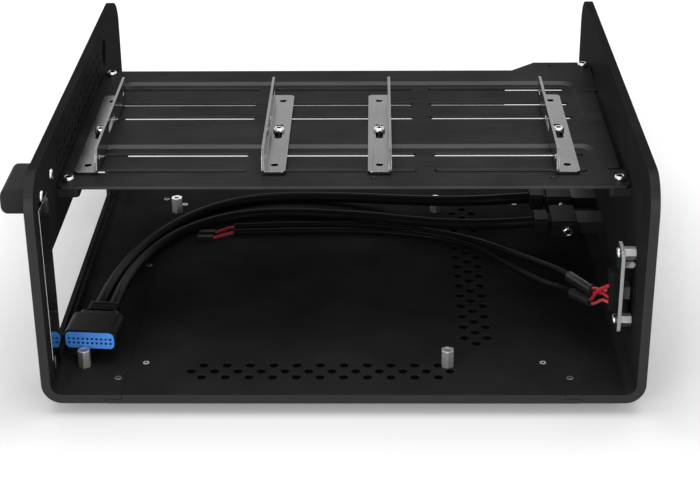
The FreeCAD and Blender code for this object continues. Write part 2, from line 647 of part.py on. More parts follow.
def drive_tray():
    """Thin folded sheet: two sunk fields, rows of long slots, a folded far lip and a folded front side."""
    ear_y = TRAY_FAR_Y + TRAY_EAR_DEPTH
    ear_x = TRAY_X - TRAY_EAR_WIDTH
    outline = [(-TRAY_X, TRAY_NEAR_Y), (TRAY_X, TRAY_NEAR_Y), (TRAY_X, ear_y), (ear_x, ear_y),
               (ear_x - TRAY_EAR_SLOPE, TRAY_FAR_Y), (-TRAY_X, TRAY_FAR_Y)]
    plate = polygon([vec(x, y, TRAY_UNDER_Z) for x, y in outline]).extrude(vec(0, 0, TRAY_SHEET))
    near = [edge for edge in edges_along(plate, vec(0, 0, 1)) if edge.CenterOfMass.y < TRAY_NEAR_Y + TOUCH]
    plate = plate.makeFillet(TRAY_CORNER, near)
    fields = [(TRAY_NEAR_Y + a, TRAY_NEAR_Y + b) for a, b in FIELDS_FROM_NEAR]
    lip_x = (-TRAY_X + TRAY_LIP_INSET, ear_x - TRAY_EAR_SLOPE - TRAY_LIP_INSET)
    lip_y = (TRAY_FAR_Y - TRAY_SHEET, TRAY_FAR_Y)
    pieces = [plate, box(lip_x, lip_y, (TRAY_Z - TRAY_LIP_DROP, TRAY_UNDER_Z))]
    side_y = (TRAY_NEAR_Y + TRAY_SIDE_NEAR, TRAY_FAR_Y - TRAY_SIDE_FAR)
    fold_y = (side_y[0] + RELIEF_WIDTH, side_y[1] - RELIEF_WIDTH)
    edge_x = TRAY_X - TRAY_SIDE_INSET
    pieces.append(box((edge_x - TRAY_SHEET, edge_x), fold_y, (TRAY_Z - TRAY_SIDE_DROP, TRAY_UNDER_Z)))
    depth = (TRAY_UNDER_Z - PAST, TRAY_Z + PAST)
    relief_x = (TRAY_X - RELIEF_LENGTH, TRAY_X + PAST)
    cutters = [box((edge_x, TRAY_X + PAST), side_y, depth)]
    cutters.append(box(relief_x, (side_y[0], fold_y[0]), depth))
    cutters.append(box(relief_x, (fold_y[1], side_y[1]), depth))
    pieces += [sunk_field(y, TRAY_UNDER_Z, TRAY_SHEET / 2) for y in fields]
    cutters += [sunk_field(y, TRAY_Z, 0.0) for y in fields]
    below = vec(0, 0, -TRAY_SHEET - FIELD_DEPTH - 2 * PAST)
    slots_span = 2 * TRAY_X - SLOT_REAR_MARGIN - SLOT_FRONT_MARGIN
    slot_length = (slots_span + SLOT_BRIDGE) / SLOT_COLUMNS - SLOT_BRIDGE
    for row in SLOT_ROWS_FROM_NEAR:
        for column in range(SLOT_COLUMNS):
            slot_x = -TRAY_X + SLOT_REAR_MARGIN + slot_length / 2 + column * (slot_length + SLOT_BRIDGE)
            middle = vec(slot_x, TRAY_NEAR_Y + row, TRAY_Z + PAST)
            cutters.append(slot_bar(middle, slot_length, SLOT_WIDTH, vec(1, 0, 0), below))
    holes = [(x, TRAY_NEAR_Y + y, TRAY_HOLE_DIAMETER) for x, y in TRAY_HOLES_FROM_NEAR]
    holes += [(x, y, SCREW_DIAMETER + 2 * HOLE_GAP) for x, y, _ in tray_screw_spots().values()]
    holes += [(x, BRACKET_MIDDLE_Y, SCREW_DIAMETER + 2 * THREAD_GAP) for x in bracket_screw_xs()]
    for x, y, diameter in holes:
        cutters.append(rod(diameter, vec(x, y, TRAY_UNDER_Z - PAST), vec(x, y, TRAY_Z + PAST)))
    return cut_all(join_all(pieces), cutters)


def tray_shelf(x, y, length):
    """A bar on the wall under the tray's corner, tapped for the tray's screw."""
    side = 1 if x > 0 else -1
    bar_x = sorted((side * INNER_X, side * (INNER_X - SHELF_WIDTH)))
    bar = box(bar_x, about(y, length), (TRAY_UNDER_Z - SHELF_THICKNESS, TRAY_UNDER_Z))
    free = [edge for edge in edges_along(bar, vec(0, 0, 1)) if abs(edge.CenterOfMass.x) < INNER_X - TOUCH]
    bar = bar.makeFillet(SHELF_CORNER, free)
    bore_start = vec(x, y, TRAY_UNDER_Z - SHELF_THICKNESS)
    return bar.cut(rod(SCREW_DIAMETER + 2 * THREAD_GAP, bore_start, vec(x, y, TRAY_Z)))


def tray_screws():
    length = TRAY_SHEET + SHELF_THICKNESS
    return [case_screw(vec(x, y, TRAY_Z), vec(0, 0, -1), length) for x, y, _ in tray_screw_spots().values()]


def bracket_hands():
    """Each bracket's drive face and the side its foot points to: away from the drive it holds."""
    bay = DRIVE_WIDTH + DRIVE_GAP
    rear = -INNER_X + REAR_BAY_FROM_WALL
    front = INNER_X - FRONT_BAY_FROM_WALL
    return [(rear, -1), (rear + bay, 1), (front - bay, -1), (front, 1)]


def bracket_screw_xs():
    return [face + hand * FOOT_HOLE_FROM_FACE for face, hand in bracket_hands()]


def drive_bracket(face, hand):
    """Folded angle: a foot with two holes and a slot, and a side wall with drive holes and a window."""
    y = about(BRACKET_MIDDLE_Y, BRACKET_LENGTH)
    top = TRAY_Z + BRACKET_HEIGHT
    nose = TRAY_Z + BRACKET_NOSE_START
    side = polygon([vec(face, y[0], TRAY_Z), vec(face, y[1], TRAY_Z), vec(face, y[1], top),
                    vec(face, y[0] + BRACKET_NOSE, top), vec(face, y[0], nose)])
    wall = side.extrude(vec(hand * BRACKET_SHEET, 0, 0))
    foot_x = sorted((face, face + hand * BRACKET_FOOT))
    foot = box(foot_x, y, (TRAY_Z, TRAY_Z + BRACKET_SHEET))
    free = [edge for edge in edges_along(foot, vec(0, 0, 1)) if abs(edge.CenterOfMass.x - face) > TOUCH]
    foot = foot.makeFillet(BRACKET_CORNER, free)
    hole_ys = about(BRACKET_MIDDLE_Y, DRIVE_HOLE_SPACING)
    foot_hole_x = face + hand * FOOT_HOLE_FROM_FACE
    side_z = TRAY_Z + BRACKET_SHEET + SIDE_HOLE_ABOVE_FOOT
    below = TRAY_Z - PAST
    above = TRAY_Z + BRACKET_SHEET + PAST
    cutters = [rod(DRIVE_HOLE_DIAMETER, vec(foot_hole_x, hole_y, below), vec(foot_hole_x, hole_y, above))
               for hole_y in hole_ys]
    side_start = face - hand * PAST
    side_way = vec(hand * (BRACKET_SHEET + 2 * PAST), 0, 0)
    for hole_y in hole_ys:
        start = vec(side_start, hole_y, side_z)
        cutters.append(rod(DRIVE_HOLE_DIAMETER, start, start + side_way))
    slot_width = SCREW_DIAMETER + 2 * HOLE_GAP
    middle = vec(foot_hole_x, BRACKET_MIDDLE_Y, below)
    cutters.append(slot_bar(middle, BRACKET_SLOT_LENGTH, slot_width, vec(0, 1, 0), vec(0, 0, above - below)))
    window = vec(side_start, BRACKET_MIDDLE_Y, side_z)
    cutters.append(slot_bar(window, BRACKET_SLOT_LENGTH, slot_width, vec(0, 1, 0), side_way))
    return cut_all(join_all([wall, foot]), cutters)


def bracket_screws():
    seat = TRAY_Z + BRACKET_SHEET
    length = BRACKET_SHEET + TRAY_SHEET + NUT_HEIGHT
    return [case_screw(vec(x, BRACKET_MIDDLE_Y, seat), vec(0, 0, -1), length) for x in bracket_screw_xs()]


def bracket_nuts():
    pieces = []
    for x in bracket_screw_xs():
        low = vec(x, BRACKET_MIDDLE_Y, TRAY_UNDER_Z - NUT_HEIGHT)
        high = vec(x, BRACKET_MIDDLE_Y, TRAY_UNDER_Z)
        pieces.append(rod(NUT_DIAMETER, low, high).cut(rod(SCREW_DIAMETER + 2 * THREAD_GAP, low, high)))
    return pieces


def slot_blank():
    """Bent steel strip over the expansion slot: shoulders, a tongue below and a notched tab outwards."""
    face_x = (-INNER_X, -INNER_X + BLANK_THICKNESS)
    top = FLOOR_Z + BLANK_TOP_ABOVE_FLOOR
    shoulder = FLOOR_Z + BLANK_SHOULDER_ABOVE_FLOOR
    strip = box(face_x, about(SLOT_Y, BLANK_WIDTH), (shoulder, top))
    tongue = box(face_x, about(SLOT_Y, BLANK_TONGUE_WIDTH), (BASE_Z + BEND_RADIUS, shoulder))
    tab_x = (-SIDE_X - BLANK_TAB_REACH, face_x[1])
    tab = box(tab_x, blank_tab_y(), (top - BLANK_THICKNESS, top))
    notch = slot_bar(vec(tab_x[0], SLOT_Y, top - BLANK_THICKNESS - PAST), 2 * BLANK_NOTCH, BLANK_NOTCH,
                     vec(1, 0, 0), vec(0, 0, BLANK_THICKNESS + 2 * PAST))
    return join_all([strip, tongue, tab]).cut(notch)


def slot_cover():
    """Hollow moulded cap over the blank's tab, with two bosses for screws from inside the case."""
    y, z = cover_spans()
    outside = (-SIDE_X - COVER_OUT, -SIDE_X)
    cap = rounded_box(outside, y, z, vec(1, 0, 0), COVER_RADIUS)
    rim = [edge for edge in cap.Edges if edge.BoundBox.XMax < -SIDE_X - COVER_OUT / 2]
    cap = cap.makeFillet(COVER_RIM, rim)
    hollow_y = (y[0] + COVER_SKIN, y[1] - COVER_SKIN)
    hollow_z = (z[0] + COVER_SKIN, z[1] - COVER_SKIN)
    cap = cap.cut(box((outside[0] + COVER_SKIN, -SIDE_X + PAST), hollow_y, hollow_z))
    back = outside[0] + COVER_SKIN
    for screw_y, screw_z in cover_screw_spots():
        start = vec(back, screw_y, screw_z)
        end = vec(-SIDE_X, screw_y, screw_z)
        bore = rod(SMALL_SCREW_DIAMETER + 2 * THREAD_GAP, start, end)
        cap = cap.fuse(rod(COVER_BOSS_DIAMETER, start, end)).cut(bore)
    return cap.removeSplitter()


def slot_cover_screws():
    length = WALL + COVER_OUT / 2
    return [small_screw(vec(-INNER_X, y, z), vec(-1, 0, 0), length) for y, z in cover_screw_spots()]


def spacer_zs():
    return about(FLOOR_Z + SWITCH_BOARD_ABOVE_FLOOR, SPACER_SPACING)


def switch_board():
    """Narrow circuit board parallel to the front wall, on two spacers."""
    x = (SWITCH_BOARD_X - SWITCH_BOARD_SHEET, SWITCH_BOARD_X)
    z = about(FLOOR_Z + SWITCH_BOARD_ABOVE_FLOOR, SWITCH_BOARD_HEIGHT)
    board = rounded_box(x, about(SWITCH_BOARD_Y, SWITCH_BOARD_WIDTH), z, vec(1, 0, 0), SWITCH_BOARD_CORNER)
    hole = SMALL_SCREW_DIAMETER + 2 * HOLE_GAP
    cutters = []
    for hole_z in spacer_zs():
        start = vec(x[0] - PAST, SWITCH_BOARD_Y, hole_z)
        cutters.append(rod(hole, start, vec(x[1] + PAST, SWITCH_BOARD_Y, hole_z)))
    return cut_all(board, cutters)


def switch_board_spacers():
    pieces = []
    for z in spacer_zs():
        start = vec(SWITCH_BOARD_X, SWITCH_BOARD_Y, z)
        way = vec(SPACER_LENGTH, 0, 0)
        bar = hexagon_bar(SPACER_ACROSS, start, way)
        pieces.append(bar.cut(rod(SMALL_SCREW_DIAMETER + 2 * THREAD_GAP, start, start + way)))
    return pieces


def switch_board_screws():
    seat = SWITCH_BOARD_X - SWITCH_BOARD_SHEET
    length = SWITCH_BOARD_SHEET + SPACER_LENGTH - PAST
    return [small_screw(vec(seat, SWITCH_BOARD_Y, z), vec(1, 0, 0), length) for z in spacer_zs()]


def power_switch():
    """Square push switch with a round well for its plunger."""
    z = FLOOR_Z + SWITCH_ABOVE_FLOOR
    x = (SWITCH_BOARD_X, SWITCH_BOARD_X + SWITCH_HEIGHT)
    y = SWITCH_BOARD_Y
    block = rounded_box(x, about(y, SWITCH_SIZE), about(z, SWITCH_SIZE), vec(1, 0, 0), HEAD_ROUND)
    return block.cut(rod(PLUNGER_DIAMETER + 2 * BUTTON_GAP, vec(x[0], y, z), vec(x[1] + PAST, y, z)))


def switch_plunger():
    """The plunger reaches from inside the switch to the button's flange, its travel free behind it."""
    z = FLOOR_Z + SWITCH_ABOVE_FLOOR
    start = vec(SWITCH_BOARD_X + 2 * BUTTON_TRAVEL, SWITCH_BOARD_Y, z)
    return rod(PLUNGER_DIAMETER, start, vec(INNER_X - BUTTON_FLANGE_SHEET, SWITCH_BOARD_Y, z))


def power_button():
    """Turned cap in the wall's hole with a flange behind the wall that keeps it in."""
    z = FLOOR_Z + SWITCH_ABOVE_FLOOR
    y = SWITCH_BOARD_Y
    face = vec(SIDE_X + BUTTON_PROUD, y, z)
    cap = rod(BUTTON_DIAMETER, vec(INNER_X, y, z), face)
    rim = [edge for edge in cap.Edges if edge.CenterOfMass.x > SIDE_X]
    cap = cap.makeChamfer(BUTTON_PROUD / 2, [edge for edge in rim if edge.Closed])
    return cap.fuse(rod(BUTTON_FLANGE, vec(INNER_X - BUTTON_FLANGE_SHEET, y, z), vec(INNER_X, y, z)))


def status_light():
    """Small domed light on the board, turned from one profile, its end in the wall's light hole."""
    y = SWITCH_BOARD_Y
    z = FLOOR_Z + LIGHT_ABOVE_FLOOR
    radius = LIGHT_DIAMETER / 2
    tilt = radius * math.sqrt(0.5)

    def at(along, out):
        return vec(SWITCH_BOARD_X + along, y, z + out)

    dome = LIGHT_LENGTH - radius
    flange = LIGHT_FLANGE / 2
    corners = [at(LIGHT_LENGTH, 0), at(0, 0), at(0, flange), at(LIGHT_FLANGE_SHEET, flange),
               at(LIGHT_FLANGE_SHEET, radius), at(dome, radius)]
    edges = [Part.LineSegment(a, b).toShape() for a, b in zip(corners, corners[1:])]
    edges.append(Part.Arc(at(dome, radius), at(dome + tilt, tilt), at(LIGHT_LENGTH, 0)).toShape())
    return Part.makeSolid(Part.Face(Part.Wire(edges)).revolve(at(0, 0), vec(1, 0, 0), 360))


def header_spans():
    return about(SWITCH_BOARD_Y, HEADER_WIDTH), about(FLOOR_Z + HEADER_ABOVE_FLOOR, HEADER_LENGTH)


def board_header():
    """Base of the pin header on the board's inner face."""
    face = SWITCH_BOARD_X - SWITCH_BOARD_SHEET
    return box((face - HEADER_BASE, face), *header_spans())


def lead_plug():
    """Plug housing on the pin header, with a shallow rim round the wires."""
    face = SWITCH_BOARD_X - SWITCH_BOARD_SHEET - HEADER_BASE
    y, z = header_spans()
    block = rounded_box((face - LEAD_PLUG_DEPTH, face), y, z, vec(1, 0, 0), HEAD_ROUND)
    inset_y = (y[0] + 2 * LEAD_PLUG_RIM, y[1] - 2 * LEAD_PLUG_RIM)
    inset_z = (z[0] + 2 * LEAD_PLUG_RIM, z[1] - 2 * LEAD_PLUG_RIM)
    outer = face - LEAD_PLUG_DEPTH
    return block.cut(box((outer - PAST, outer + LEAD_PLUG_RIM), inset_y, inset_z))


def usb_shell(y):
    """Open steel shell of one socket, from the moulded body to the outer face of the wall."""
    x = (INNER_X - USB_SHELL_INSIDE, SIDE_X)
    z = FLOOR_Z + USB_ABOVE_FLOOR
    outer = box(x, about(y, USB_SHELL_WIDTH), about(z, USB_SHELL_HEIGHT))
    inner_y = about(y, USB_SHELL_WIDTH - 2 * USB_SHELL_SHEET)
    inner_z = about(z, USB_SHELL_HEIGHT - 2 * USB_SHELL_SHEET)
    return outer.cut(box((x[0] - PAST, x[1] + PAST), inner_y, inner_z))


def usb_tongue(y):
    """Plastic contact tongue in the upper half of the shell."""
    x = (INNER_X - USB_SHELL_INSIDE, SIDE_X - USB_TONGUE_RECESS)
    z = FLOOR_Z + USB_ABOVE_FLOOR + USB_SHELL_HEIGHT / 2 - USB_SHELL_SHEET
    return box(x, about(y, USB_TONGUE_WIDTH), (z - USB_TONGUE_HEIGHT, z))


def usb_body(y):
    """Moulded body behind the shell, with a neck and a block-shaped strain relief round the cable."""
    front = INNER_X - USB_SHELL_INSIDE
    back = front - USB_BODY_LENGTH
    z = FLOOR_Z + USB_ABOVE_FLOOR
    along = vec(1, 0, 0)
    radius = USB_BODY_RADIUS
    block = rounded_box((back, front), about(y, USB_BODY_WIDTH), about(z, USB_BODY_HEIGHT), along, radius)
    relief_x = (back - USB_RELIEF_LENGTH, back - USB_NECK_LENGTH)
    relief = rounded_box(relief_x, about(y, USB_RELIEF_WIDTH), about(z, USB_RELIEF_HEIGHT), along, radius)
    neck_y = about(y, USB_RELIEF_WIDTH - 2 * USB_NECK_INSET)
    neck = box((relief_x[1], back), neck_y, about(z, USB_RELIEF_HEIGHT - 2 * USB_NECK_INSET))
    screw_x = front - USB_SCREW_FROM_FRONT
    side = y - USB_BODY_WIDTH / 2
    bore_end = vec(screw_x, side + USB_BODY_WIDTH / 3, z)
    bore = rod(SCREW_DIAMETER + 2 * THREAD_GAP, vec(screw_x, side - PAST, z), bore_end)
    return join_all([block, neck, relief]).cut(bore)


def usb_body_screws():
    x = INNER_X - USB_SHELL_INSIDE - USB_SCREW_FROM_FRONT
    z = FLOOR_Z + USB_ABOVE_FLOOR
    seats = [vec(x, NEAR_Y + offset - USB_BODY_WIDTH / 2, z) for offset in USB_FROM_NEAR]
    return [case_screw(seat, vec(0, 1, 0), USB_BODY_WIDTH / 3 - PAST) for seat in seats]


def plug_spans():
    """The header plug's box before its turn: against the slot blank and behind the near rear standoff."""
    x = -INNER_X + BLANK_THICKNESS + PLUG_GAP
    standoff_x, standoff_y = standoff_spots()[0]
    lean = (standoff_x - x) * math.tan(math.radians(PLUG_TURN))
    y = standoff_y + STANDOFF_ACROSS / math.sqrt(3) + PLUG_GAP + INSERT_PROUD + lean
    z = FLOOR_Z + PLUG_ABOVE_FLOOR
    return (x, x + PLUG_WIDTH), (y, y + PLUG_DEPTH), (z, z + PLUG_HEIGHT)


def turned_plug(shape):
    """The plug's piece turned about the plug's near corner at the wall."""
    x, y, z = plug_spans()
    shape.rotate(vec(x[0], y[0], z[0]), vec(0, 0, 1), -PLUG_TURN)
    return shape


def insert_spans():
    x, y, z = plug_spans()
    inset = PLUG_SKIN
    insert_y = (y[0] - INSERT_PROUD, y[0] + PLUG_SOCKET_DEPTH)
    return (x[0] + inset, x[1] - inset), insert_y, (z[0] + inset, z[1] - inset)


def header_shell():
    """Black moulded shell of the header plug: a stepped shoulder and a grooved collar for the two cables."""
    x, y, z = plug_spans()
    middle_x = sum(x) / 2
    middle_z = sum(z) / 2
    along = vec(0, 1, 0)
    shell = rounded_box(x, y, z, along, PLUG_CORNER)
    back = [edge for edge in shell.Edges if edge.CenterOfMass.y > y[1] - TOUCH]
    shell = shell.makeFillet(PLUG_RADIUS, back)
    step_y = (y[1] - PLUG_RADIUS, y[1] + SHOULDER_LENGTH)
    step_z = (z[0] + SHOULDER_INSET, z[1] - SHOULDER_INSET)
    step = rounded_box(about(middle_x, SHOULDER_WIDTH), step_y, step_z, along, PLUG_RADIUS)
    collar_x = about(middle_x, COLLAR_WIDTH)
    collar_z = about(middle_z, COLLAR_HEIGHT)
    collar = rounded_box(collar_x, (step_y[1], step_y[1] + COLLAR_LENGTH), collar_z, along, PLUG_RADIUS)
    pocket_x, pocket_y, pocket_z = insert_spans()
    pocket_corner = PLUG_CORNER - PLUG_SKIN
    cutters = [rounded_box(pocket_x, (y[0] - PAST, pocket_y[1]), pocket_z, along, pocket_corner)]
    around_x = about(middle_x, COLLAR_WIDTH + 2 * PAST)
    around_z = about(middle_z, COLLAR_HEIGHT + 2 * PAST)
    core_x = about(middle_x, COLLAR_WIDTH - 2 * GROOVE_DEPTH)
    core_z = about(middle_z, COLLAR_HEIGHT - 2 * GROOVE_DEPTH)
    for groove in range(COLLAR_GROOVES):
        groove_y = about(step_y[1] + GROOVE_PITCH * (groove + 0.5), GROOVE_WIDTH)
        core = rounded_box(core_x, groove_y, core_z, along, PLUG_RADIUS)
        cutters.append(box(around_x, groove_y, around_z).cut(core))
    return turned_plug(cut_all(join_all([shell, step, collar]), cutters))


def header_insert():
    """Blue contact block with rounded ends in the shell, with two rows of pin holes in its face."""
    x, y, z = insert_spans()
    block = rounded_box(x, y, z, vec(0, 1, 0), PLUG_CORNER - PLUG_SKIN)
    middle_x = sum(x) / 2
    cutters = []
    for row in PIN_ROWS_ABOVE_BOTTOM:
        for column in range(PIN_COLUMNS):
            pin_x = middle_x + PIN_PITCH * (column - (PIN_COLUMNS - 1) / 2)
            hole = about(pin_x, PIN_HOLE), (y[0] - PAST, y[0] + PIN_HOLE_DEPTH), about(z[0] + row, PIN_HOLE)
            cutters.append(box(*hole))
    return turned_plug(cut_all(block, cutters))


def route_edges(points, name):
    """Straight runs joined by tangent arcs as large as the runs allow; prints the arcs' radii."""
    corners = [vec(*point) for point in points]
    edges = []
    radii = []
    start = corners[0]
    for before, corner, after in zip(corners, corners[1:], corners[2:]):
        into = (corner - before)
        out = (after - corner)
        turn = into.getAngle(out)
        setback = ARC_SHARE * min(into.Length, out.Length)
        radius = setback / math.tan(turn / 2)
        radii.append(round(radius, 1))
        into.normalize()
        out.normalize()
        first = corner - into * setback
        last = corner + out * setback
        inward = (out - into).normalize()
        middle = corner + inward * (radius / math.cos(turn / 2) - radius)
        edges.append(Part.LineSegment(start, first).toShape())
        edges.append(Part.Arc(first, middle, last).toShape())
        start = last
    edges.append(Part.LineSegment(start, corners[-1]).toShape())
    print(name, "radii", radii)
    return edges


def cord(points, diameter, name):
    """A round cord swept along its route; prints its length and its volume against section times length."""
    path = Part.Wire(route_edges(points, name))
    way = vec(*points[1]) - vec(*points[0])
    section = Part.Wire(Part.makeCircle(diameter / 2, vec(*points[0]), way))
    tube = path.makePipeShell([section], True, False)
    volume = math.pi * diameter ** 2 / 4 * path.Length
    print(name, "length", round(path.Length, 1), "volume share", round(tube.Volume / volume, 4))
    return tube


def lead_sleeve(lead, length):
    """Heat-shrink sleeve that carries on from the end of a lead, along its last run."""
    end = vec(*lead[-1])
    way = (end - vec(*lead[-2])).normalize()
    return rod(SLEEVE_DIAMETER, end, end + way * length)


def pin_plug(tail):
    """Small flat pin plug lying on the floor at the free end of a lead."""
    x = tail[0][0] + TAIL_IN_PLUG
    z = (FLOOR_Z, FLOOR_Z + PIN_PLUG_HEIGHT)
    y = about(tail[0][1], PIN_PLUG_WIDTH)
    return rounded_box((x - PIN_PLUG_LENGTH, x), y, z, vec(1, 0, 0), HEAD_ROUND / 2)


def all_nodes():
    """Every node's name with its solid, or with the list of its like solids."""
    nodes = {"base_plate": base_plate(), "rear_panel": rear_panel(), "front_panel": front_panel()}
    nodes["lap_screws"] = [lap_screw(x, y, 0.0) for side in (-1, 1) for x, y in lap_screw_spots(side)]
    for index, (x, y) in enumerate(foot_spots()):
        nodes["rubber_foot_%d" % (index + 1)] = rubber_foot(x, y)
    nodes["foot_screws"] = foot_screws()
    nodes["board_standoffs"] = board_standoffs()
    nodes["drive_tray"] = drive_tray()
    for place, spot in tray_screw_spots().items():
        nodes["tray_shelf_" + place] = tray_shelf(*spot)
    nodes["tray_screws"] = tray_screws()
    for index, (face, hand) in enumerate(bracket_hands()):
        nodes["drive_bracket_%d" % (index + 1)] = drive_bracket(face, hand)
    nodes["bracket_screws"] = bracket_screws()
    nodes["bracket_nuts"] = bracket_nuts()
    nodes["slot_blank"] = slot_blank()
    nodes["slot_cover"] = slot_cover()
    nodes["slot_cover_screws"] = slot_cover_screws()
    nodes["switch_board"] = switch_board()
    nodes["switch_board_spacers"] = switch_board_spacers()
    nodes["switch_board_screws"] = switch_board_screws()
    nodes["power_switch"] = power_switch()
    nodes["switch_plunger"] = switch_plunger()
    nodes["power_button"] = power_button()
    nodes["status_light"] = status_light()
    nodes["board_header"] = board_header()
    nodes["lead_plug"] = lead_plug()
    for index, offset in enumerate(USB_FROM_NEAR):
        nodes["usb_shell_%d" % (index + 1)] = usb_shell(NEAR_Y + offset)
        nodes["usb_tongue_%d" % (index + 1)] = usb_tongue(NEAR_Y + offset)
        nodes["usb_body_%d" % (index + 1)] = usb_body(NEAR_Y + offset)
    nodes["usb_body_screws"] = usb_body_screws()
    nodes["header_shell"] = header_shell()
    nodes["header_insert"] = header_insert()
    for index, route in enumerate(USB_CABLE_ROUTES):
        name = "usb_cable_%d" % (index + 1)
        nodes[name] = cord(route, USB_CABLE_DIAMETER, name)
    for index, route in enumerate(PANEL_LEAD_ROUTES):
        name = "panel_lead_%d" % (index + 1)
        nodes[name] = cord(route, PANEL_LEAD_DIAMETER, name)
        nodes["lead_sleeve_%d" % (index + 1)] = lead_sleeve(route, SLEEVE_LENGTHS[index])
    for index, route in enumerate(WIRE_ROUTES):
        name = "panel_wire_%d" % (index + 1)
        nodes[name] = cord(route, WIRE_DIAMETER, name)
    for index, route in enumerate(TAIL_ROUTES):
        name = "lead_tail_%d" % (index + 1)
        nodes[name] = cord(route, TAIL_DIAMETER, name)
        nodes["pin_plug_%d" % (index + 1)] = pin_plug(route)
    return nodes


os.makedirs("parts", exist_ok=True)
for node_name, solids in all_nodes().items():
    whole = Part.makeCompound(solids) if isinstance(solids, list) else solids
    whole.translate(vec(CASE_SHIFT_X, 0, 0))
    whole.exportStep("parts/%s.step" % node_name)
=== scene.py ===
import math
import bpy
from mathutils import Matrix, Vector


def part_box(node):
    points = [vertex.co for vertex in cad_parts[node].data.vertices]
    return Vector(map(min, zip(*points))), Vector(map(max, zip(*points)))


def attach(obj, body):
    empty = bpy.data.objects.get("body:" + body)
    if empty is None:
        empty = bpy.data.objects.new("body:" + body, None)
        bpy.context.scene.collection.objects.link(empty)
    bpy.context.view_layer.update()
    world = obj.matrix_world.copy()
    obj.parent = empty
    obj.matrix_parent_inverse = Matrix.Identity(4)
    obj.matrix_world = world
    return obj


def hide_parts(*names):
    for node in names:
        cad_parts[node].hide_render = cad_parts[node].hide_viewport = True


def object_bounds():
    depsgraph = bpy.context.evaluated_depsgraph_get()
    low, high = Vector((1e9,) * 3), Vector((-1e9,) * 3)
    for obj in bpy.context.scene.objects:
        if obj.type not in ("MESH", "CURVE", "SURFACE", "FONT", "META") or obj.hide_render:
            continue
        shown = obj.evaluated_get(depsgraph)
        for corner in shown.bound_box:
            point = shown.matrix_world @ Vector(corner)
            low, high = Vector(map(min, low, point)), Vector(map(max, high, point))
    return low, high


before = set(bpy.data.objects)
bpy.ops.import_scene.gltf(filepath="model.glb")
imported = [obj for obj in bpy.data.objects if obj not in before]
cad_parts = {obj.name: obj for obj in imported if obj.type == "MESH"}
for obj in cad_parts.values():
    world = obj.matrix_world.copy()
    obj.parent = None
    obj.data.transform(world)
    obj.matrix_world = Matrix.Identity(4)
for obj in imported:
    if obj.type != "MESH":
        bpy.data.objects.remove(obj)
cad_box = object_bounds()

# Case panels: base, rear wall and front wall, cut and bent from thick aluminium sheet.
# They are blasted to a fine sand texture and anodised black, and their cut edges are lightly broken.
case_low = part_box("rear_panel")[0]
case_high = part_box("front_panel")[1]
case_middle_x = (case_low[0] + case_high[0]) / 2
panel_edge = 0.00035
edge_steps = 2
merged_within = 0.000002
flat_within = math.radians(1)
smooth_below = math.radians(35)


def smooth_shaded(piece):
    """Shade the active piece smooth over its rounds, with its large faces kept flat."""
    bpy.ops.object.shade_smooth_by_angle(angle=smooth_below)
    flat = piece.modifiers.new("flat faces", "WEIGHTED_NORMAL")
    flat.keep_sharp = True
    bpy.ops.object.modifier_apply(modifier=flat.name)


def edged_copy(node, body, edge_round, crease=40):
    """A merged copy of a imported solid, which stands for it, with edges sharper than crease broken."""
    piece = bpy.data.objects.new(node + "_piece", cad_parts[node].data.copy())
    bpy.context.scene.collection.objects.link(piece)
    bpy.ops.object.select_all(action="DESELECT")
    piece.select_set(True)
    bpy.context.view_layer.objects.active = piece
    bpy.ops.mesh.customdata_custom_splitnormals_clear()
    bpy.ops.object.mode_set(mode="EDIT")
    bpy.ops.mesh.select_all(action="SELECT")
    bpy.ops.mesh.remove_doubles(threshold=merged_within)
    bpy.ops.mesh.dissolve_limited(angle_limit=flat_within)
    bpy.ops.object.mode_set(mode="OBJECT")
    broken = piece.modifiers.new("broken edges", "BEVEL")
    broken.width = edge_round
    broken.segments = edge_steps
    broken.limit_method = "ANGLE"
    broken.angle_limit = math.radians(crease)
    broken.use_clamp_overlap = False
    bpy.ops.object.modifier_apply(modifier=broken.name)
    smooth_shaded(piece)
    piece.data.materials.clear()
    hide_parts(node)
    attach(piece, body)
    return piece


def finish_named(name):
    """A new material with its nodes, links and shader."""
    material = bpy.data.materials.new(name)
    material.use_nodes = True
    tree = material.node_tree
    return material, tree.nodes, tree.links, tree.nodes["Principled BSDF"]


def math_node(nodes, operation):
    """A new maths node with its operation."""
    node = nodes.new("ShaderNodeMath")
    node.operation = operation
    return node


def vector_node(nodes, operation):
    """A new vector maths node with its operation."""
    node = nodes.new("ShaderNodeVectorMath")
    node.operation = operation
    return node


def effect_group(name, inputs, outputs):
    """An empty effect with named sockets, and its input and output nodes."""
    group = bpy.data.node_groups.new(name, "ShaderNodeTree")
    for socket, kind in inputs:
        group.interface.new_socket(socket, in_out="INPUT", socket_type=kind)
    for socket in outputs:
        group.interface.new_socket(socket, in_out="OUTPUT", socket_type="NodeSocketFloat")
    return group, group.nodes.new("NodeGroupInput"), group.nodes.new("NodeGroupOutput")


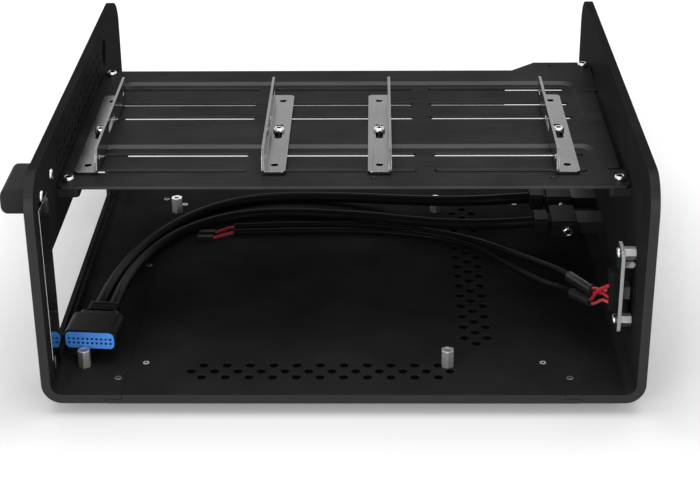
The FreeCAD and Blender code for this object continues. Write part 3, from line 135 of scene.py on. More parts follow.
def grain_group():
    """Noise of two sizes on object coordinates: a height for bump and a slow mask for colour and gloss."""
    inputs = (("Scale", "NodeSocketFloat"), ("Stretch", "NodeSocketVector"))
    group, given, result = effect_group("fine grain", inputs, ("Height", "Patch"))
    nodes = group.nodes
    links = group.links
    place = nodes.new("ShaderNodeTexCoord")
    spread = vector_node(nodes, "MULTIPLY")
    fine = nodes.new("ShaderNodeTexNoise")
    fine.inputs["Detail"].default_value = 3.0
    fine.inputs["Roughness"].default_value = 0.65
    slow = nodes.new("ShaderNodeTexNoise")
    slow.inputs["Scale"].default_value = 38.0
    slow.inputs["Detail"].default_value = 4.0
    links.new(place.outputs["Object"], spread.inputs[0])
    links.new(given.outputs["Stretch"], spread.inputs[1])
    links.new(spread.outputs["Vector"], fine.inputs["Vector"])
    links.new(given.outputs["Scale"], fine.inputs["Scale"])
    links.new(place.outputs["Object"], slow.inputs["Vector"])
    links.new(fine.outputs["Fac"], result.inputs["Height"])
    links.new(slow.outputs["Fac"], result.inputs["Patch"])
    return group


fine_grain = grain_group()
even_share = 0.5
colour_span = (0.3, 0.72)
gloss_span = (0.3, 0.7)


def grained_finish(name, dark, light, rough, metal, scale, relief, stretch=(1, 1, 1), gloss=0.5, rim=1.0):
    """A finish whose colour and gloss drift between two values and whose surface has a fine grain.

    Rim is how bright the metal stays where it is seen at a flat angle.
    """
    material, nodes, links, shader = finish_named(name)
    grain = nodes.new("ShaderNodeGroup")
    grain.node_tree = fine_grain
    grain.inputs["Scale"].default_value = scale
    grain.inputs["Stretch"].default_value = stretch
    halved = math_node(nodes, "MULTIPLY")
    halved.inputs[1].default_value = even_share
    mixed = math_node(nodes, "MULTIPLY_ADD")
    mixed.inputs[1].default_value = even_share
    colour = nodes.new("ShaderNodeValToRGB")
    for stop, position, shade in zip(colour.color_ramp.elements, colour_span, (dark, light)):
        stop.position = position
        stop.color = (*shade, 1)
    sheen = nodes.new("ShaderNodeMapRange")
    sheen.inputs["From Min"].default_value = gloss_span[0]
    sheen.inputs["From Max"].default_value = gloss_span[1]
    sheen.inputs["To Min"].default_value = rough[0]
    sheen.inputs["To Max"].default_value = rough[1]
    bump = nodes.new("ShaderNodeBump")
    bump.inputs["Strength"].default_value = 1.0
    bump.inputs["Distance"].default_value = relief
    links.new(grain.outputs["Height"], mixed.inputs[0])
    links.new(grain.outputs["Patch"], halved.inputs[0])
    links.new(halved.outputs["Value"], mixed.inputs[2])
    links.new(mixed.outputs["Value"], colour.inputs["Fac"])
    links.new(colour.outputs["Color"], shader.inputs["Base Color"])
    links.new(mixed.outputs["Value"], sheen.inputs["Value"])
    links.new(sheen.outputs["Result"], shader.inputs["Roughness"])
    links.new(grain.outputs["Height"], bump.inputs["Height"])
    links.new(bump.outputs["Normal"], shader.inputs["Normal"])
    shader.inputs["Metallic"].default_value = metal
    shader.inputs["Specular IOR Level"].default_value = gloss
    shader.inputs["Specular Tint"].default_value = (rim, rim, rim, 1)
    return material


def facing_group():
    """Masks of the faces that look along an axis, either way, and lie far out along it, and of the rest."""
    inputs = (("Axis", "NodeSocketVector"), ("Beyond", "NodeSocketFloat"))
    group, given, result = effect_group("faces along an axis", inputs, ("Mask", "Rest"))
    nodes = group.nodes
    links = group.links
    place = nodes.new("ShaderNodeTexCoord")
    along = vector_node(nodes, "DOT_PRODUCT")
    either_way = math_node(nodes, "ABSOLUTE")
    sharp = nodes.new("ShaderNodeMapRange")
    sharp.inputs["From Min"].default_value = 0.8
    sharp.inputs["From Max"].default_value = 0.95
    out_along = vector_node(nodes, "DOT_PRODUCT")
    either_end = math_node(nodes, "ABSOLUTE")
    far_out = math_node(nodes, "GREATER_THAN")
    both = math_node(nodes, "MULTIPLY")
    others = math_node(nodes, "SUBTRACT")
    others.inputs[0].default_value = 1.0
    links.new(place.outputs["Normal"], along.inputs[0])
    links.new(given.outputs["Axis"], along.inputs[1])
    links.new(along.outputs["Value"], either_way.inputs[0])
    links.new(either_way.outputs["Value"], sharp.inputs["Value"])
    links.new(place.outputs["Object"], out_along.inputs[0])
    links.new(given.outputs["Axis"], out_along.inputs[1])
    links.new(out_along.outputs["Value"], either_end.inputs[0])
    links.new(either_end.outputs["Value"], far_out.inputs[0])
    links.new(given.outputs["Beyond"], far_out.inputs[1])
    links.new(sharp.outputs["Result"], both.inputs[0])
    links.new(far_out.outputs["Value"], both.inputs[1])
    links.new(both.outputs["Value"], result.inputs["Mask"])
    links.new(both.outputs["Value"], others.inputs[1])
    links.new(others.outputs["Value"], result.inputs["Rest"])
    return group


def edge_group():
    """A mask along the edges, broken up unevenly."""
    inputs = (("Reach", "NodeSocketFloat"), ("Amount", "NodeSocketFloat"))
    group, given, result = effect_group("worn edges", inputs, ("Mask",))
    nodes = group.nodes
    links = group.links
    rounded = nodes.new("ShaderNodeBevel")
    rounded.samples = 4
    surface = nodes.new("ShaderNodeNewGeometry")
    compared = vector_node(nodes, "DOT_PRODUCT")
    turned = nodes.new("ShaderNodeMapRange")
    turned.inputs["From Min"].default_value = 0.99
    turned.inputs["From Max"].default_value = 0.85
    place = nodes.new("ShaderNodeTexCoord")
    uneven = nodes.new("ShaderNodeTexNoise")
    uneven.inputs["Scale"].default_value = 160.0
    uneven.inputs["Detail"].default_value = 3.0
    uneven_edge = math_node(nodes, "MULTIPLY")
    links.new(given.outputs["Reach"], rounded.inputs["Radius"])
    links.new(rounded.outputs["Normal"], compared.inputs[0])
    links.new(surface.outputs["Normal"], compared.inputs[1])
    links.new(compared.outputs["Value"], turned.inputs["Value"])
    links.new(given.outputs["Amount"], turned.inputs["To Max"])
    links.new(place.outputs["Object"], uneven.inputs["Vector"])
    links.new(turned.outputs["Result"], uneven_edge.inputs[0])
    links.new(uneven.outputs["Fac"], uneven_edge.inputs[1])
    links.new(uneven_edge.outputs["Value"], result.inputs["Mask"])
    return group


faces_along = facing_group()
edge_paint_group = edge_group()
# Sockets of a colour mix by their place: its share, the colour under, the colour over and the result.
mix_share = 0
mix_under = 6
mix_over = 7
mix_result = 2


def laid_over(material, mask, colour):
    """Lay a second colour over a finish where the mask is high."""
    nodes = material.node_tree.nodes
    links = material.node_tree.links
    base = nodes["Principled BSDF"].inputs["Base Color"]
    over = nodes.new("ShaderNodeMix")
    over.data_type = "RGBA"
    over.inputs[mix_over].default_value = (*colour, 1)
    links.new(base.links[0].from_socket, over.inputs[mix_under])
    links.new(mask, over.inputs[mix_share])
    links.new(over.outputs[mix_result], base)


def coloured_faces(material, axis, beyond, colour, mask="Mask"):
    """Colour the faces along an axis, beyond a distance from the middle, or all the rest of them."""
    facing = material.node_tree.nodes.new("ShaderNodeGroup")
    facing.node_tree = faces_along
    facing.inputs["Axis"].default_value = axis
    facing.inputs["Beyond"].default_value = beyond
    laid_over(material, facing.outputs[mask], colour)


def painted_edges(material, reach, amount, colour):
    """Paint another colour unevenly along the edges of a finish: a painted highlight at most uses, a
    painted shade at one.
    """
    edge_paint_node = material.node_tree.nodes.new("ShaderNodeGroup")
    edge_paint_node.node_tree = edge_paint_group
    edge_paint_node.inputs["Reach"].default_value = reach
    edge_paint_node.inputs["Amount"].default_value = amount
    laid_over(material, edge_paint_node.outputs["Mask"], colour)


def sand_finish(name):
    """The blasted black of the panels."""
    return grained_finish(name, dark=(0.018, 0.018, 0.0184), light=(0.034, 0.034, 0.0345),
                          rough=(0.46, 0.58), metal=0.5, scale=2600.0, relief=0.00004, gloss=0.0,
                          rim=0.25)


cut_edge_depth = 0.002
sand_black = sand_finish("sand blasted black")
base_black = sand_finish("sand blasted black with dark vents")
# Painted shade: the faces of the base plate that do not look up or down, the vent walls among them, are
# coloured near black.
coloured_faces(base_black, axis=(0, 0, 1), beyond=0.0, colour=(0.007, 0.007, 0.0071), mask="Rest")
# The cut faces at both ends are coloured lighter: partly the bare cut, partly a painted sheen where they
# face the front lamps.
for panel_finish in (sand_black, base_black):
    coloured_faces(panel_finish, axis=(0, 1, 0), beyond=case_high[1] - cut_edge_depth,
                   colour=(0.034, 0.034, 0.0344))
    # Painted highlight: a lighter grey laid unevenly along the panels' edges.
    painted_edges(panel_finish, reach=0.0004, amount=0.35, colour=(0.08, 0.08, 0.08))
# Painted shade: a near black for the walls of holes and of the screw crosses, where shade falls.
shaded_bore = grained_finish("shaded bore black", dark=(0.003, 0.003, 0.0031),
                             light=(0.006, 0.006, 0.0061), rough=(0.6, 0.7), metal=0.0, scale=2600.0,
                             relief=0.00004, gloss=0.0)


def shade_bores(piece, low, high, axis, steepest):
    """Give the walls of the holes along an axis, between two corners of a piece, the shaded black."""
    piece.data.materials.append(shaded_bore)
    for face in piece.data.polygons:
        inside = all(low[side] < face.center[side] < high[side] for side in range(3))
        if inside and abs(face.normal[axis]) < steepest:
            face.material_index = 1


wall_sheet = 0.004
bores_along = (-0.075, 0.085)
bores_up = (0.062, 0.1035)
bores_in = (case_low[0] + panel_edge, case_low[0] + wall_sheet - panel_edge)
bores_low, bores_high = zip(bores_in, bores_along, bores_up)
panel_finishes = (("base_plate", base_black), ("rear_panel", sand_black), ("front_panel", sand_black))
for panel_node, panel_finish in panel_finishes:
    panel = edged_copy(panel_node, "chassis", edge_round=panel_edge)
    panel.data.materials.append(panel_finish)
    if panel_node == "rear_panel":
        shade_bores(panel, bores_low, bores_high, axis=0, steepest=0.5)

# Screws of the lap joints and of the feet: plated steel, driven from below, with their ends in the floor.
# The ends of the lap screws are coloured dark as painted shade, with a painted highlight round the rim, and
# those of the foot screws are bright with painted shade round the rim.
dull_plate = grained_finish("dull plated steel", dark=(0.4, 0.4, 0.395), light=(0.85, 0.85, 0.84),
                            rough=(0.36, 0.55), metal=0.45, scale=1100.0, relief=0.000004, gloss=0.2)
# Painted shade: a near black laid round the rims of the foot screw ends, where they meet the floor.
painted_edges(dull_plate, reach=0.0006, amount=2.2, colour=(0.015, 0.015, 0.015))
# Painted shade: the lap screw ends are coloured dark.
dark_plate = grained_finish("darkened steel", dark=(0.03, 0.03, 0.03), light=(0.3, 0.3, 0.295),
                            rough=(0.3, 0.45), metal=0.6, scale=1400.0, relief=0.000004, gloss=0.3)
# Painted highlight: a near white laid round the rims of the lap screw ends.
painted_edges(dark_plate, reach=0.0003, amount=2.0, colour=(0.9, 0.9, 0.89))
head_down = (0, 0, -1)
end_dimple = (0.0022, 0.001)
head_up = (0, 0, 1)
case_cross = (0.0036, 0.0013)
blade_share = 0.3
blade_taper = (0.35, 0.6, 1)
faces_down = -0.9
first_turn = 15
turn_between = 37


def cross_driven(screws, outward, cross):
    """Press a tapered cross of a given span and depth into each head of a group of screws."""
    span, deep = cross
    outward = Vector(outward)
    bpy.ops.object.select_all(action="DESELECT")
    screws.select_set(True)
    bpy.context.view_layer.objects.active = screws
    bpy.ops.object.mode_set(mode="EDIT")
    bpy.ops.mesh.select_all(action="SELECT")
    bpy.ops.mesh.separate(type="LOOSE")
    bpy.ops.object.mode_set(mode="OBJECT")
    singles = sorted(bpy.context.selected_objects, key=lambda screw: screw.name)
    bpy.ops.object.select_all(action="DESELECT")
    bpy.ops.mesh.primitive_cube_add(size=1.0)
    blade = bpy.context.object
    # The walls of each pressed cross take the shaded black, a painted shade.
    blade.data.materials.append(shaded_bore)
    bpy.ops.object.mode_set(mode="EDIT")
    bpy.ops.transform.resize(value=(span, span * blade_share, 2 * deep))
    bpy.ops.mesh.select_all(action="DESELECT")
    bpy.ops.object.mode_set(mode="OBJECT")
    for face in blade.data.polygons:
        face.select = face.normal.z < faces_down
    bpy.ops.object.mode_set(mode="EDIT")
    bpy.ops.transform.resize(value=blade_taper, center_override=(0, 0, 0))
    bpy.ops.object.mode_set(mode="OBJECT")
    upright = outward.to_track_quat("Z", "Y").to_matrix().to_4x4()
    for count, screw in enumerate(singles):
        low = Vector([min(vertex.co[axis] for vertex in screw.data.vertices) for axis in range(3)])
        high = Vector([max(vertex.co[axis] for vertex in screw.data.vertices) for axis in range(3)])
        crown = (low + high) / 2
        crown += outward * abs(outward.dot(high - low)) / 2
        bpy.context.view_layer.objects.active = screw
        for quarter in (0, 90):
            turn = Matrix.Rotation(math.radians(quarter + turn_between * count + first_turn), 4, "Z")
            blade.matrix_world = Matrix.Translation(crown) @ upright @ turn
            pressed = screw.modifiers.new("cross", "BOOLEAN")
            pressed.operation = "DIFFERENCE"
            pressed.solver = "EXACT"
            pressed.material_mode = "TRANSFER"
            pressed.object = blade
            bpy.ops.object.modifier_apply(modifier=pressed.name)
    bpy.data.objects.remove(blade)
    bpy.ops.object.select_all(action="DESELECT")
    for screw in singles:
        screw.select_set(True)
    bpy.context.view_layer.objects.active = screws
    if len(singles) > 1:
        bpy.ops.object.join()
    smooth_shaded(screws)


for screw_node, plate in (("lap_screws", dark_plate), ("foot_screws", dull_plate)):
    screws = edged_copy(screw_node, "chassis", edge_round=0.00025)
    screws.data.materials.append(plate)
    cross_driven(screws, outward=head_up, cross=end_dimple)
    if screw_node == "lap_screws":
        cross_driven(screws, outward=head_down, cross=case_cross)

# Rubber feet: four moulded bumpers under the base, each held by its screw.
# Matt black rubber with a faint mould grain.
foot_rubber = grained_finish("foot rubber", dark=(0.012, 0.012, 0.012), light=(0.022, 0.022, 0.022),
                             rough=(0.7, 0.85), metal=0.0, scale=1500.0, relief=0.00004)
for number in range(1, 5):
    foot = edged_copy("rubber_foot_%d" % number, "chassis", edge_round=0.0004)
    foot.data.materials.append(foot_rubber)

# Motherboard standoffs: four hexagonal spacers with a tapped hole, turned from steel and nickel plated.
# They are screwed into the floor on the board's hole pattern.
satin_nickel = grained_finish("satin nickel plate", dark=(0.8, 0.8, 0.79), light=(0.95, 0.95, 0.94),
                              rough=(0.34, 0.42), metal=1.0, scale=900.0, relief=0.000002)
# Painted highlight: a near white laid unevenly along the spacers' edges.
painted_edges(satin_nickel, reach=0.0003, amount=1.0, colour=(1.0, 1.0, 0.99))
standoffs = edged_copy("board_standoffs", "chassis", edge_round=0.00012)
standoffs.data.materials.append(satin_nickel)

# Drive tray: thin aluminium sheet with two pressed fields and long slots, folded at the far edge.
# It is anodised black over a faint brushed grain that runs from wall to wall, and lies on four shelves.
# Bright plated screws hold it there, and more of them clamp the brackets into nuts under the sheet.
brushed_black = grained_finish("brushed black", dark=(0.036, 0.036, 0.0364),
                               light=(0.056, 0.056, 0.0565), rough=(0.34, 0.44), metal=0.9, scale=900.0,
                               stretch=(0.05, 1, 1), relief=0.00002, gloss=0.0, rim=0.4)
# Painted highlight: a lighter grey laid unevenly along the tray's edges and bends.
painted_edges(brushed_black, reach=0.0004, amount=0.6, colour=(0.12, 0.12, 0.12))
tray = edged_copy("drive_tray", "chassis", edge_round=0.0002, crease=20)
tray.data.materials.append(brushed_black)
for place in ("near_rear", "near_front", "far_rear", "far_front"):
    shelf = edged_copy("tray_shelf_" + place, "chassis", edge_round=0.0003)
    shelf.data.materials.append(sand_black)
bright_plate = grained_finish("bright plated steel", dark=(0.66, 0.66, 0.65), light=(0.82, 0.82, 0.81),
                              rough=(0.14, 0.24), metal=1.0, scale=900.0, relief=0.000002)
# Painted highlight: a near white laid unevenly along the edges of the bright screws and nuts.
painted_edges(bright_plate, reach=0.0003, amount=1.0, colour=(0.95, 0.95, 0.94))
for screw_node in ("tray_screws", "bracket_screws"):
    screws = edged_copy(screw_node, "chassis", edge_round=0.0002)
    screws.data.materials.append(bright_plate)
    cross_driven(screws, outward=head_up, cross=case_cross)
nuts = edged_copy("bracket_nuts", "chassis", edge_round=0.0002)
nuts.data.materials.append(bright_plate)

# Drive brackets: four folded angles of plain sheet steel with a fine rolled grain along their length.
# Each slides on the tray along its slotted foot once its screw is loosened.
rolled_steel = grained_finish("rolled sheet steel", dark=(0.17, 0.17, 0.17), light=(0.26, 0.26, 0.26),
                              rough=(0.16, 0.28), metal=1.0, scale=1200.0, stretch=(1, 0.06, 1),
                              relief=0.000006)
# Painted highlight: a light grey laid unevenly along the brackets' edges.
painted_edges(rolled_steel, reach=0.0004, amount=1.0, colour=(0.6, 0.6, 0.6))
bracket_sheet = 0.0012
bend_room = 0.0022
end_room = 0.003
for number in range(1, 5):
    bracket_node = "drive_bracket_%d" % number
    bracket = edged_copy(bracket_node, bracket_node, edge_round=0.00015)
    bracket.data.materials.append(rolled_steel)
    low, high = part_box(bracket_node)
    foot_low = (low[0] + bend_room, low[1] + end_room, low[2])
    foot_high = (high[0] - bend_room, high[1] - end_room, low[2] + bracket_sheet)
    shade_bores(bracket, foot_low, foot_high, axis=2, steepest=0.3)

# Slot blank and slot cover: a bent strip of polished steel behind the expansion slot.
# A moulded black cap outside the rear wall covers its tab, and two bright screws hold the cap from within.
polished_steel = grained_finish("polished slot steel", dark=(0.4, 0.4, 0.4), light=(0.5, 0.5, 0.5),
                                rough=(0.09, 0.16), metal=1.0, scale=500.0, stretch=(1, 1, 0.1),
                                relief=0.000003)
# Painted highlight: a near white laid unevenly along the slot blank's edges.
painted_edges(polished_steel, reach=0.0004, amount=1.2, colour=(0.9, 0.9, 0.9))
blank = edged_copy("slot_blank", "chassis", edge_round=0.00012)
blank.data.materials.append(polished_steel)
satin_black = grained_finish("satin moulded black", dark=(0.004, 0.004, 0.0042),
                             light=(0.008, 0.008, 0.0082), rough=(0.4, 0.52), metal=0.0, scale=1100.0,
                             relief=0.00002, gloss=0.08)
cover_black = grained_finish("moulded cover black", dark=(0.016, 0.016, 0.0163),
                             light=(0.026, 0.026, 0.0264), rough=(0.5, 0.6), metal=0.0, scale=1800.0,
                             relief=0.00003, gloss=0.05)
cover = edged_copy("slot_cover", "chassis", edge_round=0.0002)
cover.data.materials.append(cover_black)
small_cross = (0.0032, 0.0011)
cover_screws = edged_copy("slot_cover_screws", "chassis", edge_round=0.0002)
cover_screws.data.materials.append(bright_plate)
cross_driven(cover_screws, outward=(1, 0, 0), cross=small_cross)

# Switch board: a narrow board of green laminate, screwed on two plated hexagonal spacers at the front wall.
# It carries a moulded push switch, a clear light and a pin header.
# The satin black power button in the wall reaches the switch through a plunger.
board_green = grained_finish("board laminate", dark=(0.3, 0.31, 0.3), light=(0.46, 0.47, 0.46),
                             rough=(0.3, 0.45), metal=0.0, scale=1600.0, relief=0.00001)
coloured_faces(board_green, axis=(1, 0, 0), beyond=0.0, colour=(0.006, 0.016, 0.013))
board = edged_copy("switch_board", "chassis", edge_round=0.0001)
board.data.materials.append(board_green)
spacers = edged_copy("switch_board_spacers", "chassis", edge_round=0.0002)
spacers.data.materials.append(satin_nickel)
board_screws = edged_copy("switch_board_screws", "chassis", edge_round=0.0002)
board_screws.data.materials.append(bright_plate)
cross_driven(board_screws, outward=(-1, 0, 0), cross=small_cross)
switch_grey = grained_finish("switch housing", dark=(0.05, 0.05, 0.051), light=(0.09, 0.09, 0.091),
                             rough=(0.3, 0.42), metal=0.0, scale=900.0, relief=0.00001)
push_switch = edged_copy("power_switch", "chassis", edge_round=0.0002)
push_switch.data.materials.append(switch_grey)
pin_header = edged_copy("board_header", "chassis", edge_round=0.0002)
board_plug = edged_copy("lead_plug", "chassis", edge_round=0.0002)
for part in (pin_header, board_plug):
    part.data.materials.append(satin_black)
for part_node in ("power_button", "switch_plunger"):
    part = edged_copy(part_node, "power_button", edge_round=0.0001)
    part.data.materials.append(satin_black)
clear_lens = grained_finish("clear lens", dark=(0.6, 0.62, 0.64), light=(0.75, 0.77, 0.8),
                            rough=(0.1, 0.2), metal=0.0, scale=600.0, relief=0.00001)
light = edged_copy("status_light", "chassis", edge_round=0.0001)
light.data.materials.append(clear_lens)

# Panel USB sockets: folded steel shells in the front wall, each round a blue moulded tongue.
# A moulded black body closes each shell behind the wall, with a bright screw at its side.
socket_blue = grained_finish("blue moulding", dark=(0.046, 0.21, 0.64), light=(0.062, 0.26, 0.76),
                             rough=(0.35, 0.5), metal=0.0, scale=1100.0, relief=0.00002, gloss=0.3)
# The shells are coloured near black.
shell_steel = grained_finish("socket shell steel", dark=(0.035, 0.035, 0.035), light=(0.06, 0.06, 0.06),
                             rough=(0.36, 0.46), metal=1.0, scale=700.0, stretch=(0.1, 1, 1),
                             relief=0.000004)
# Painted highlight: a lighter blue laid unevenly along the edges of the tongues.
painted_edges(socket_blue, reach=0.0003, amount=0.4, colour=(0.24, 0.48, 0.95))
for number in (1, 2):
    shell = edged_copy("usb_shell_%d" % number, "chassis", edge_round=0.0001)
    shell.data.materials.append(shell_steel)
    tongue = edged_copy("usb_tongue_%d" % number, "chassis", edge_round=0.0002)
    tongue.data.materials.append(socket_blue)
    moulding = edged_copy("usb_body_%d" % number, "chassis", edge_round=0.0004)
    moulding.data.materials.append(satin_black)
socket_screws = edged_copy("usb_body_screws", "chassis", edge_round=0.0002)
socket_screws.data.materials.append(bright_plate)
cross_driven(socket_screws, outward=(0, -1, 0), cross=case_cross)

# USB header plug: a black moulded shell with a collar, round a blue contact block with rows of holes.
# It hangs on its two cables and leans on the near rear standoff, turned a little from the wall.
plug_shell = edged_copy("header_shell", "chassis", edge_round=0.0005)
plug_shell.data.materials.append(satin_black)
plug_turn = math.radians(5)
plug_axis = (math.sin(plug_turn), math.cos(plug_turn), 0)
plug_face_out = 0.1022
contact_blue = grained_finish("blue contact block", dark=(0.05, 0.22, 0.66), light=(0.07, 0.28, 0.8),
                              rough=(0.35, 0.5), metal=0.0, scale=1100.0, relief=0.00002, gloss=0.3)
# Painted highlight: a lighter blue laid unevenly along the block's edges.
painted_edges(contact_blue, reach=0.0003, amount=0.4, colour=(0.24, 0.48, 0.95))
# Painted shade: every face of the block but its front is coloured dark navy, so that the pin holes read
# dark.
coloured_faces(contact_blue, axis=plug_axis, beyond=plug_face_out, colour=(0.012, 0.055, 0.22),
               mask="Rest")
plug_insert = edged_copy("header_insert", "chassis", edge_round=0.00015)
plug_insert.data.materials.append(contact_blue)

# USB cables: two round cables in smooth black sheaths, moulded into the header plug and the panel sockets.
# They lie along the floor and rise in one sweep to the front wall.
cable_diameter = 0.0052
cable_routes = (
    ((-0.1092, -0.06665, 0.0196), (-0.1083, -0.05445, 0.0194), (-0.1076, -0.03925, 0.0179),
     (-0.1063, -0.02075, 0.0152), (-0.1034, -0.00025, 0.0127), (-0.0982, 0.01775, 0.0116),
     (-0.0906, 0.03295, 0.0116), (-0.0811, 0.04695, 0.0116), (-0.07, 0.05835, 0.0116),
     (-0.0573, 0.06655, 0.0116), (-0.0431, 0.07115, 0.0116), (-0.0277, 0.07275, 0.0116),
     (-0.01, 0.07115, 0.0122), (0.0082, 0.06575, 0.014), (0.026, 0.05695, 0.017),
     (0.0432, 0.04795, 0.0205), (0.058, 0.04015, 0.024), (0.0709, 0.03475, 0.0269),
     (0.082, 0.03265, 0.0287), (0.0905, 0.03275, 0.0291)),
    ((-0.103, -0.06725, 0.0196), (-0.1022, -0.05445, 0.0193), (-0.102, -0.04025, 0.0176),
     (-0.1012, -0.02625, 0.0154), (-0.0998, -0.01085, 0.0132), (-0.0966, 0.00395, 0.0117),
     (-0.0917, 0.01575, 0.0116), (-0.0854, 0.02655, 0.0116), (-0.0779, 0.03535, 0.0116),
     (-0.0694, 0.04235, 0.0116), (-0.06, 0.04775, 0.0116), (-0.0496, 0.05135, 0.0116),
     (-0.037, 0.05305, 0.0116), (-0.0222, 0.05265, 0.0116), (-0.007, 0.04965, 0.0121),
     (0.0084, 0.04325, 0.0143), (0.0258, 0.03395, 0.0165), (0.0428, 0.02545, 0.0187),
     (0.0571, 0.01805, 0.0216), (0.0694, 0.01115, 0.0249), (0.0798, 0.00625, 0.0277),
     (0.0905, 0.00475, 0.0291)),
)
cable_black = grained_finish("cable sheath", dark=(0.003, 0.003, 0.0032),
                             light=(0.0055, 0.0055, 0.0057), rough=(0.36, 0.46), metal=0.0, scale=700.0,
                             relief=0.00002, gloss=0.03)


def spot_in_case(point):
    """A point counted from the middle between the walls, in the frame's own place."""
    return (point[0] + case_middle_x, point[1], point[2])


def laid_cord(name, route, diameter):
    """A round cord on one smooth line along its route."""
    curve = bpy.data.curves.new(name, "CURVE")
    curve.dimensions = "3D"
    line = curve.splines.new("NURBS")
    line.points.add(len(route) - 1)
    for spot, point in zip(line.points, route):
        spot.co = (*spot_in_case(point), 1)
    line.order_u = 3
    line.use_endpoint_u = True
    line.resolution_u = 10
    curve.bevel_depth = diameter / 2
    curve.bevel_resolution = 6
    curve.use_fill_caps = True
    piece = bpy.data.objects.new(name, curve)
    bpy.context.scene.collection.objects.link(piece)
    return piece


for number, route in enumerate(cable_routes, 1):
    cable = laid_cord("usb_cable_%d_piece" % number, route, cable_diameter)
    cable.data.materials.append(cable_black)
    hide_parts("usb_cable_%d" % number)
    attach(cable, "chassis")

# Front panel leads: two thin black sheathed leads from the pin plugs on the floor to the switch board.
# Each ends in a shrink sleeve, from which two loose red wires run into the plug on the pin header.
lead_diameter = 0.0033
lead_routes = (
    ((-0.057, 0.03875, 0.01065), (-0.041, 0.04015, 0.01065), (-0.0243, 0.04095, 0.01065),
     (-0.0043, 0.04085, 0.01065), (0.014, 0.03955, 0.01065), (0.027, 0.03695, 0.0107),
     (0.039, 0.03295, 0.0109), (0.05, 0.02695, 0.0117), (0.0597, 0.01875, 0.0132),
     (0.0672, 0.00865, 0.0154), (0.0745, -0.00365, 0.0181), (0.0814, -0.01615, 0.0211),
     (0.088, -0.02965, 0.0247), (0.0955, -0.04755, 0.03), (0.0991, -0.05885, 0.0323)),
    ((-0.057, 0.03205, 0.01065), (-0.041, 0.03325, 0.01065), (-0.024, 0.03385, 0.01065),
     (-0.0041, 0.03395, 0.01065), (0.0136, 0.03305, 0.01065), (0.0264, 0.03095, 0.0107),
     (0.0384, 0.02755, 0.0108), (0.0496, 0.02215, 0.0111), (0.0594, 0.01435, 0.012),
     (0.067, 0.00375, 0.0136), (0.074, -0.01155, 0.0157), (0.0807, -0.02675, 0.0183),
     (0.087, -0.04255, 0.0219), (0.092, -0.05465, 0.0254), (0.0955, -0.06185, 0.0281),
     (0.0993, -0.06885, 0.0294)),
)
wire_diameter = 0.0015
wire_routes = (
    ((0.1059, -0.0807, 0.0378), (0.1072, -0.0843, 0.0397), (0.1083, -0.088, 0.0407),
     (0.1095, -0.092, 0.0408), (0.1123, -0.0954, 0.0404)),
    ((0.1066, -0.0809, 0.036), (0.1082, -0.0844, 0.0374), (0.1095, -0.0878, 0.0393),
     (0.1104, -0.0906, 0.0422), (0.1123, -0.0932, 0.0434)),
    ((0.1054, -0.0802, 0.0321), (0.1058, -0.0839, 0.0344), (0.1062, -0.0874, 0.038),
     (0.1074, -0.0909, 0.043), (0.1123, -0.0943, 0.0464)),
    ((0.1063, -0.0806, 0.0303), (0.1076, -0.0842, 0.0326), (0.1087, -0.0882, 0.036),
     (0.1098, -0.0921, 0.0384), (0.1123, -0.0958, 0.0383)),
)
wire_red = grained_finish("red wire", dark=(0.36, 0.012, 0.02), light=(0.52, 0.024, 0.034),
                          rough=(0.3, 0.42), metal=0.0, scale=900.0, relief=0.00001, gloss=0.3)
wire_rose = grained_finish("rose wire", dark=(0.44, 0.05, 0.065), light=(0.6, 0.09, 0.11),
                           rough=(0.3, 0.42), metal=0.0, scale=900.0, relief=0.00001, gloss=0.3)
# The tails at the pin plugs are coloured a darker red than the wires at the switch board.
tail_red = grained_finish("dull red wire", dark=(0.17, 0.008, 0.013), light=(0.3, 0.015, 0.022),
                          rough=(0.35, 0.48), metal=0.0, scale=900.0, relief=0.00001, gloss=0.2)
shrink_grey = grained_finish("shrink sleeve", dark=(0.006, 0.006, 0.0063), light=(0.02, 0.02, 0.0208),
                             rough=(0.24, 0.38), metal=0.0, scale=320.0, relief=0.0001, gloss=0.25)
for number, route in enumerate(lead_routes, 1):
    lead = laid_cord("panel_lead_%d_piece" % number, route, lead_diameter)
    lead.data.materials.append(cable_black)
    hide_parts("panel_lead_%d" % number)
    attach(lead, "chassis")
    sleeve = edged_copy("lead_sleeve_%d" % number, "chassis", edge_round=0.0004)
    sleeve.data.materials.append(shrink_grey)
    tail = edged_copy("lead_tail_%d" % number, "chassis", edge_round=0.00005)
    tail.data.materials.append(tail_red)
    for wire_number, wire_finish in ((2 * number - 1, wire_red), (2 * number, wire_rose)):
        wire_route = wire_routes[wire_number - 1]
        wire = laid_cord("panel_wire_%d_piece" % wire_number, wire_route, wire_diameter)
        wire.data.materials.append(wire_finish)
        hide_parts("panel_wire_%d" % wire_number)
        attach(wire, "chassis")
    pin_plug = edged_copy("pin_plug_%d" % number, "chassis", edge_round=0.0002)
    pin_plug.data.materials.append(satin_black)

# Studio floor: a wide sheet of matt white paper that keeps the soft shadow under the case.
# For the camera it glows up to white away from the case and less near it, a painted shadow round the case
# that reaches further behind; from below it is clear.
floor_span = 12.0
# Painted shadow: the glow begins its rise this much further out behind the case.
shade_behind = 0.09
fade_width = 0.08
glow_near = 0.07
glow_far = 0.32


def seen_directly(nodes, links):
    """One for rays from the camera and for those that a surface reflects or lets through, else zero."""
    ray = nodes.new("ShaderNodeLightPath")
    either = math_node(nodes, "MAXIMUM")
    any_of = math_node(nodes, "MAXIMUM")
    links.new(ray.outputs["Is Camera Ray"], either.inputs[0])
    links.new(ray.outputs["Is Glossy Ray"], either.inputs[1])
    links.new(either.outputs["Value"], any_of.inputs[0])
    links.new(ray.outputs["Is Transmission Ray"], any_of.inputs[1])
    return any_of.outputs["Value"]


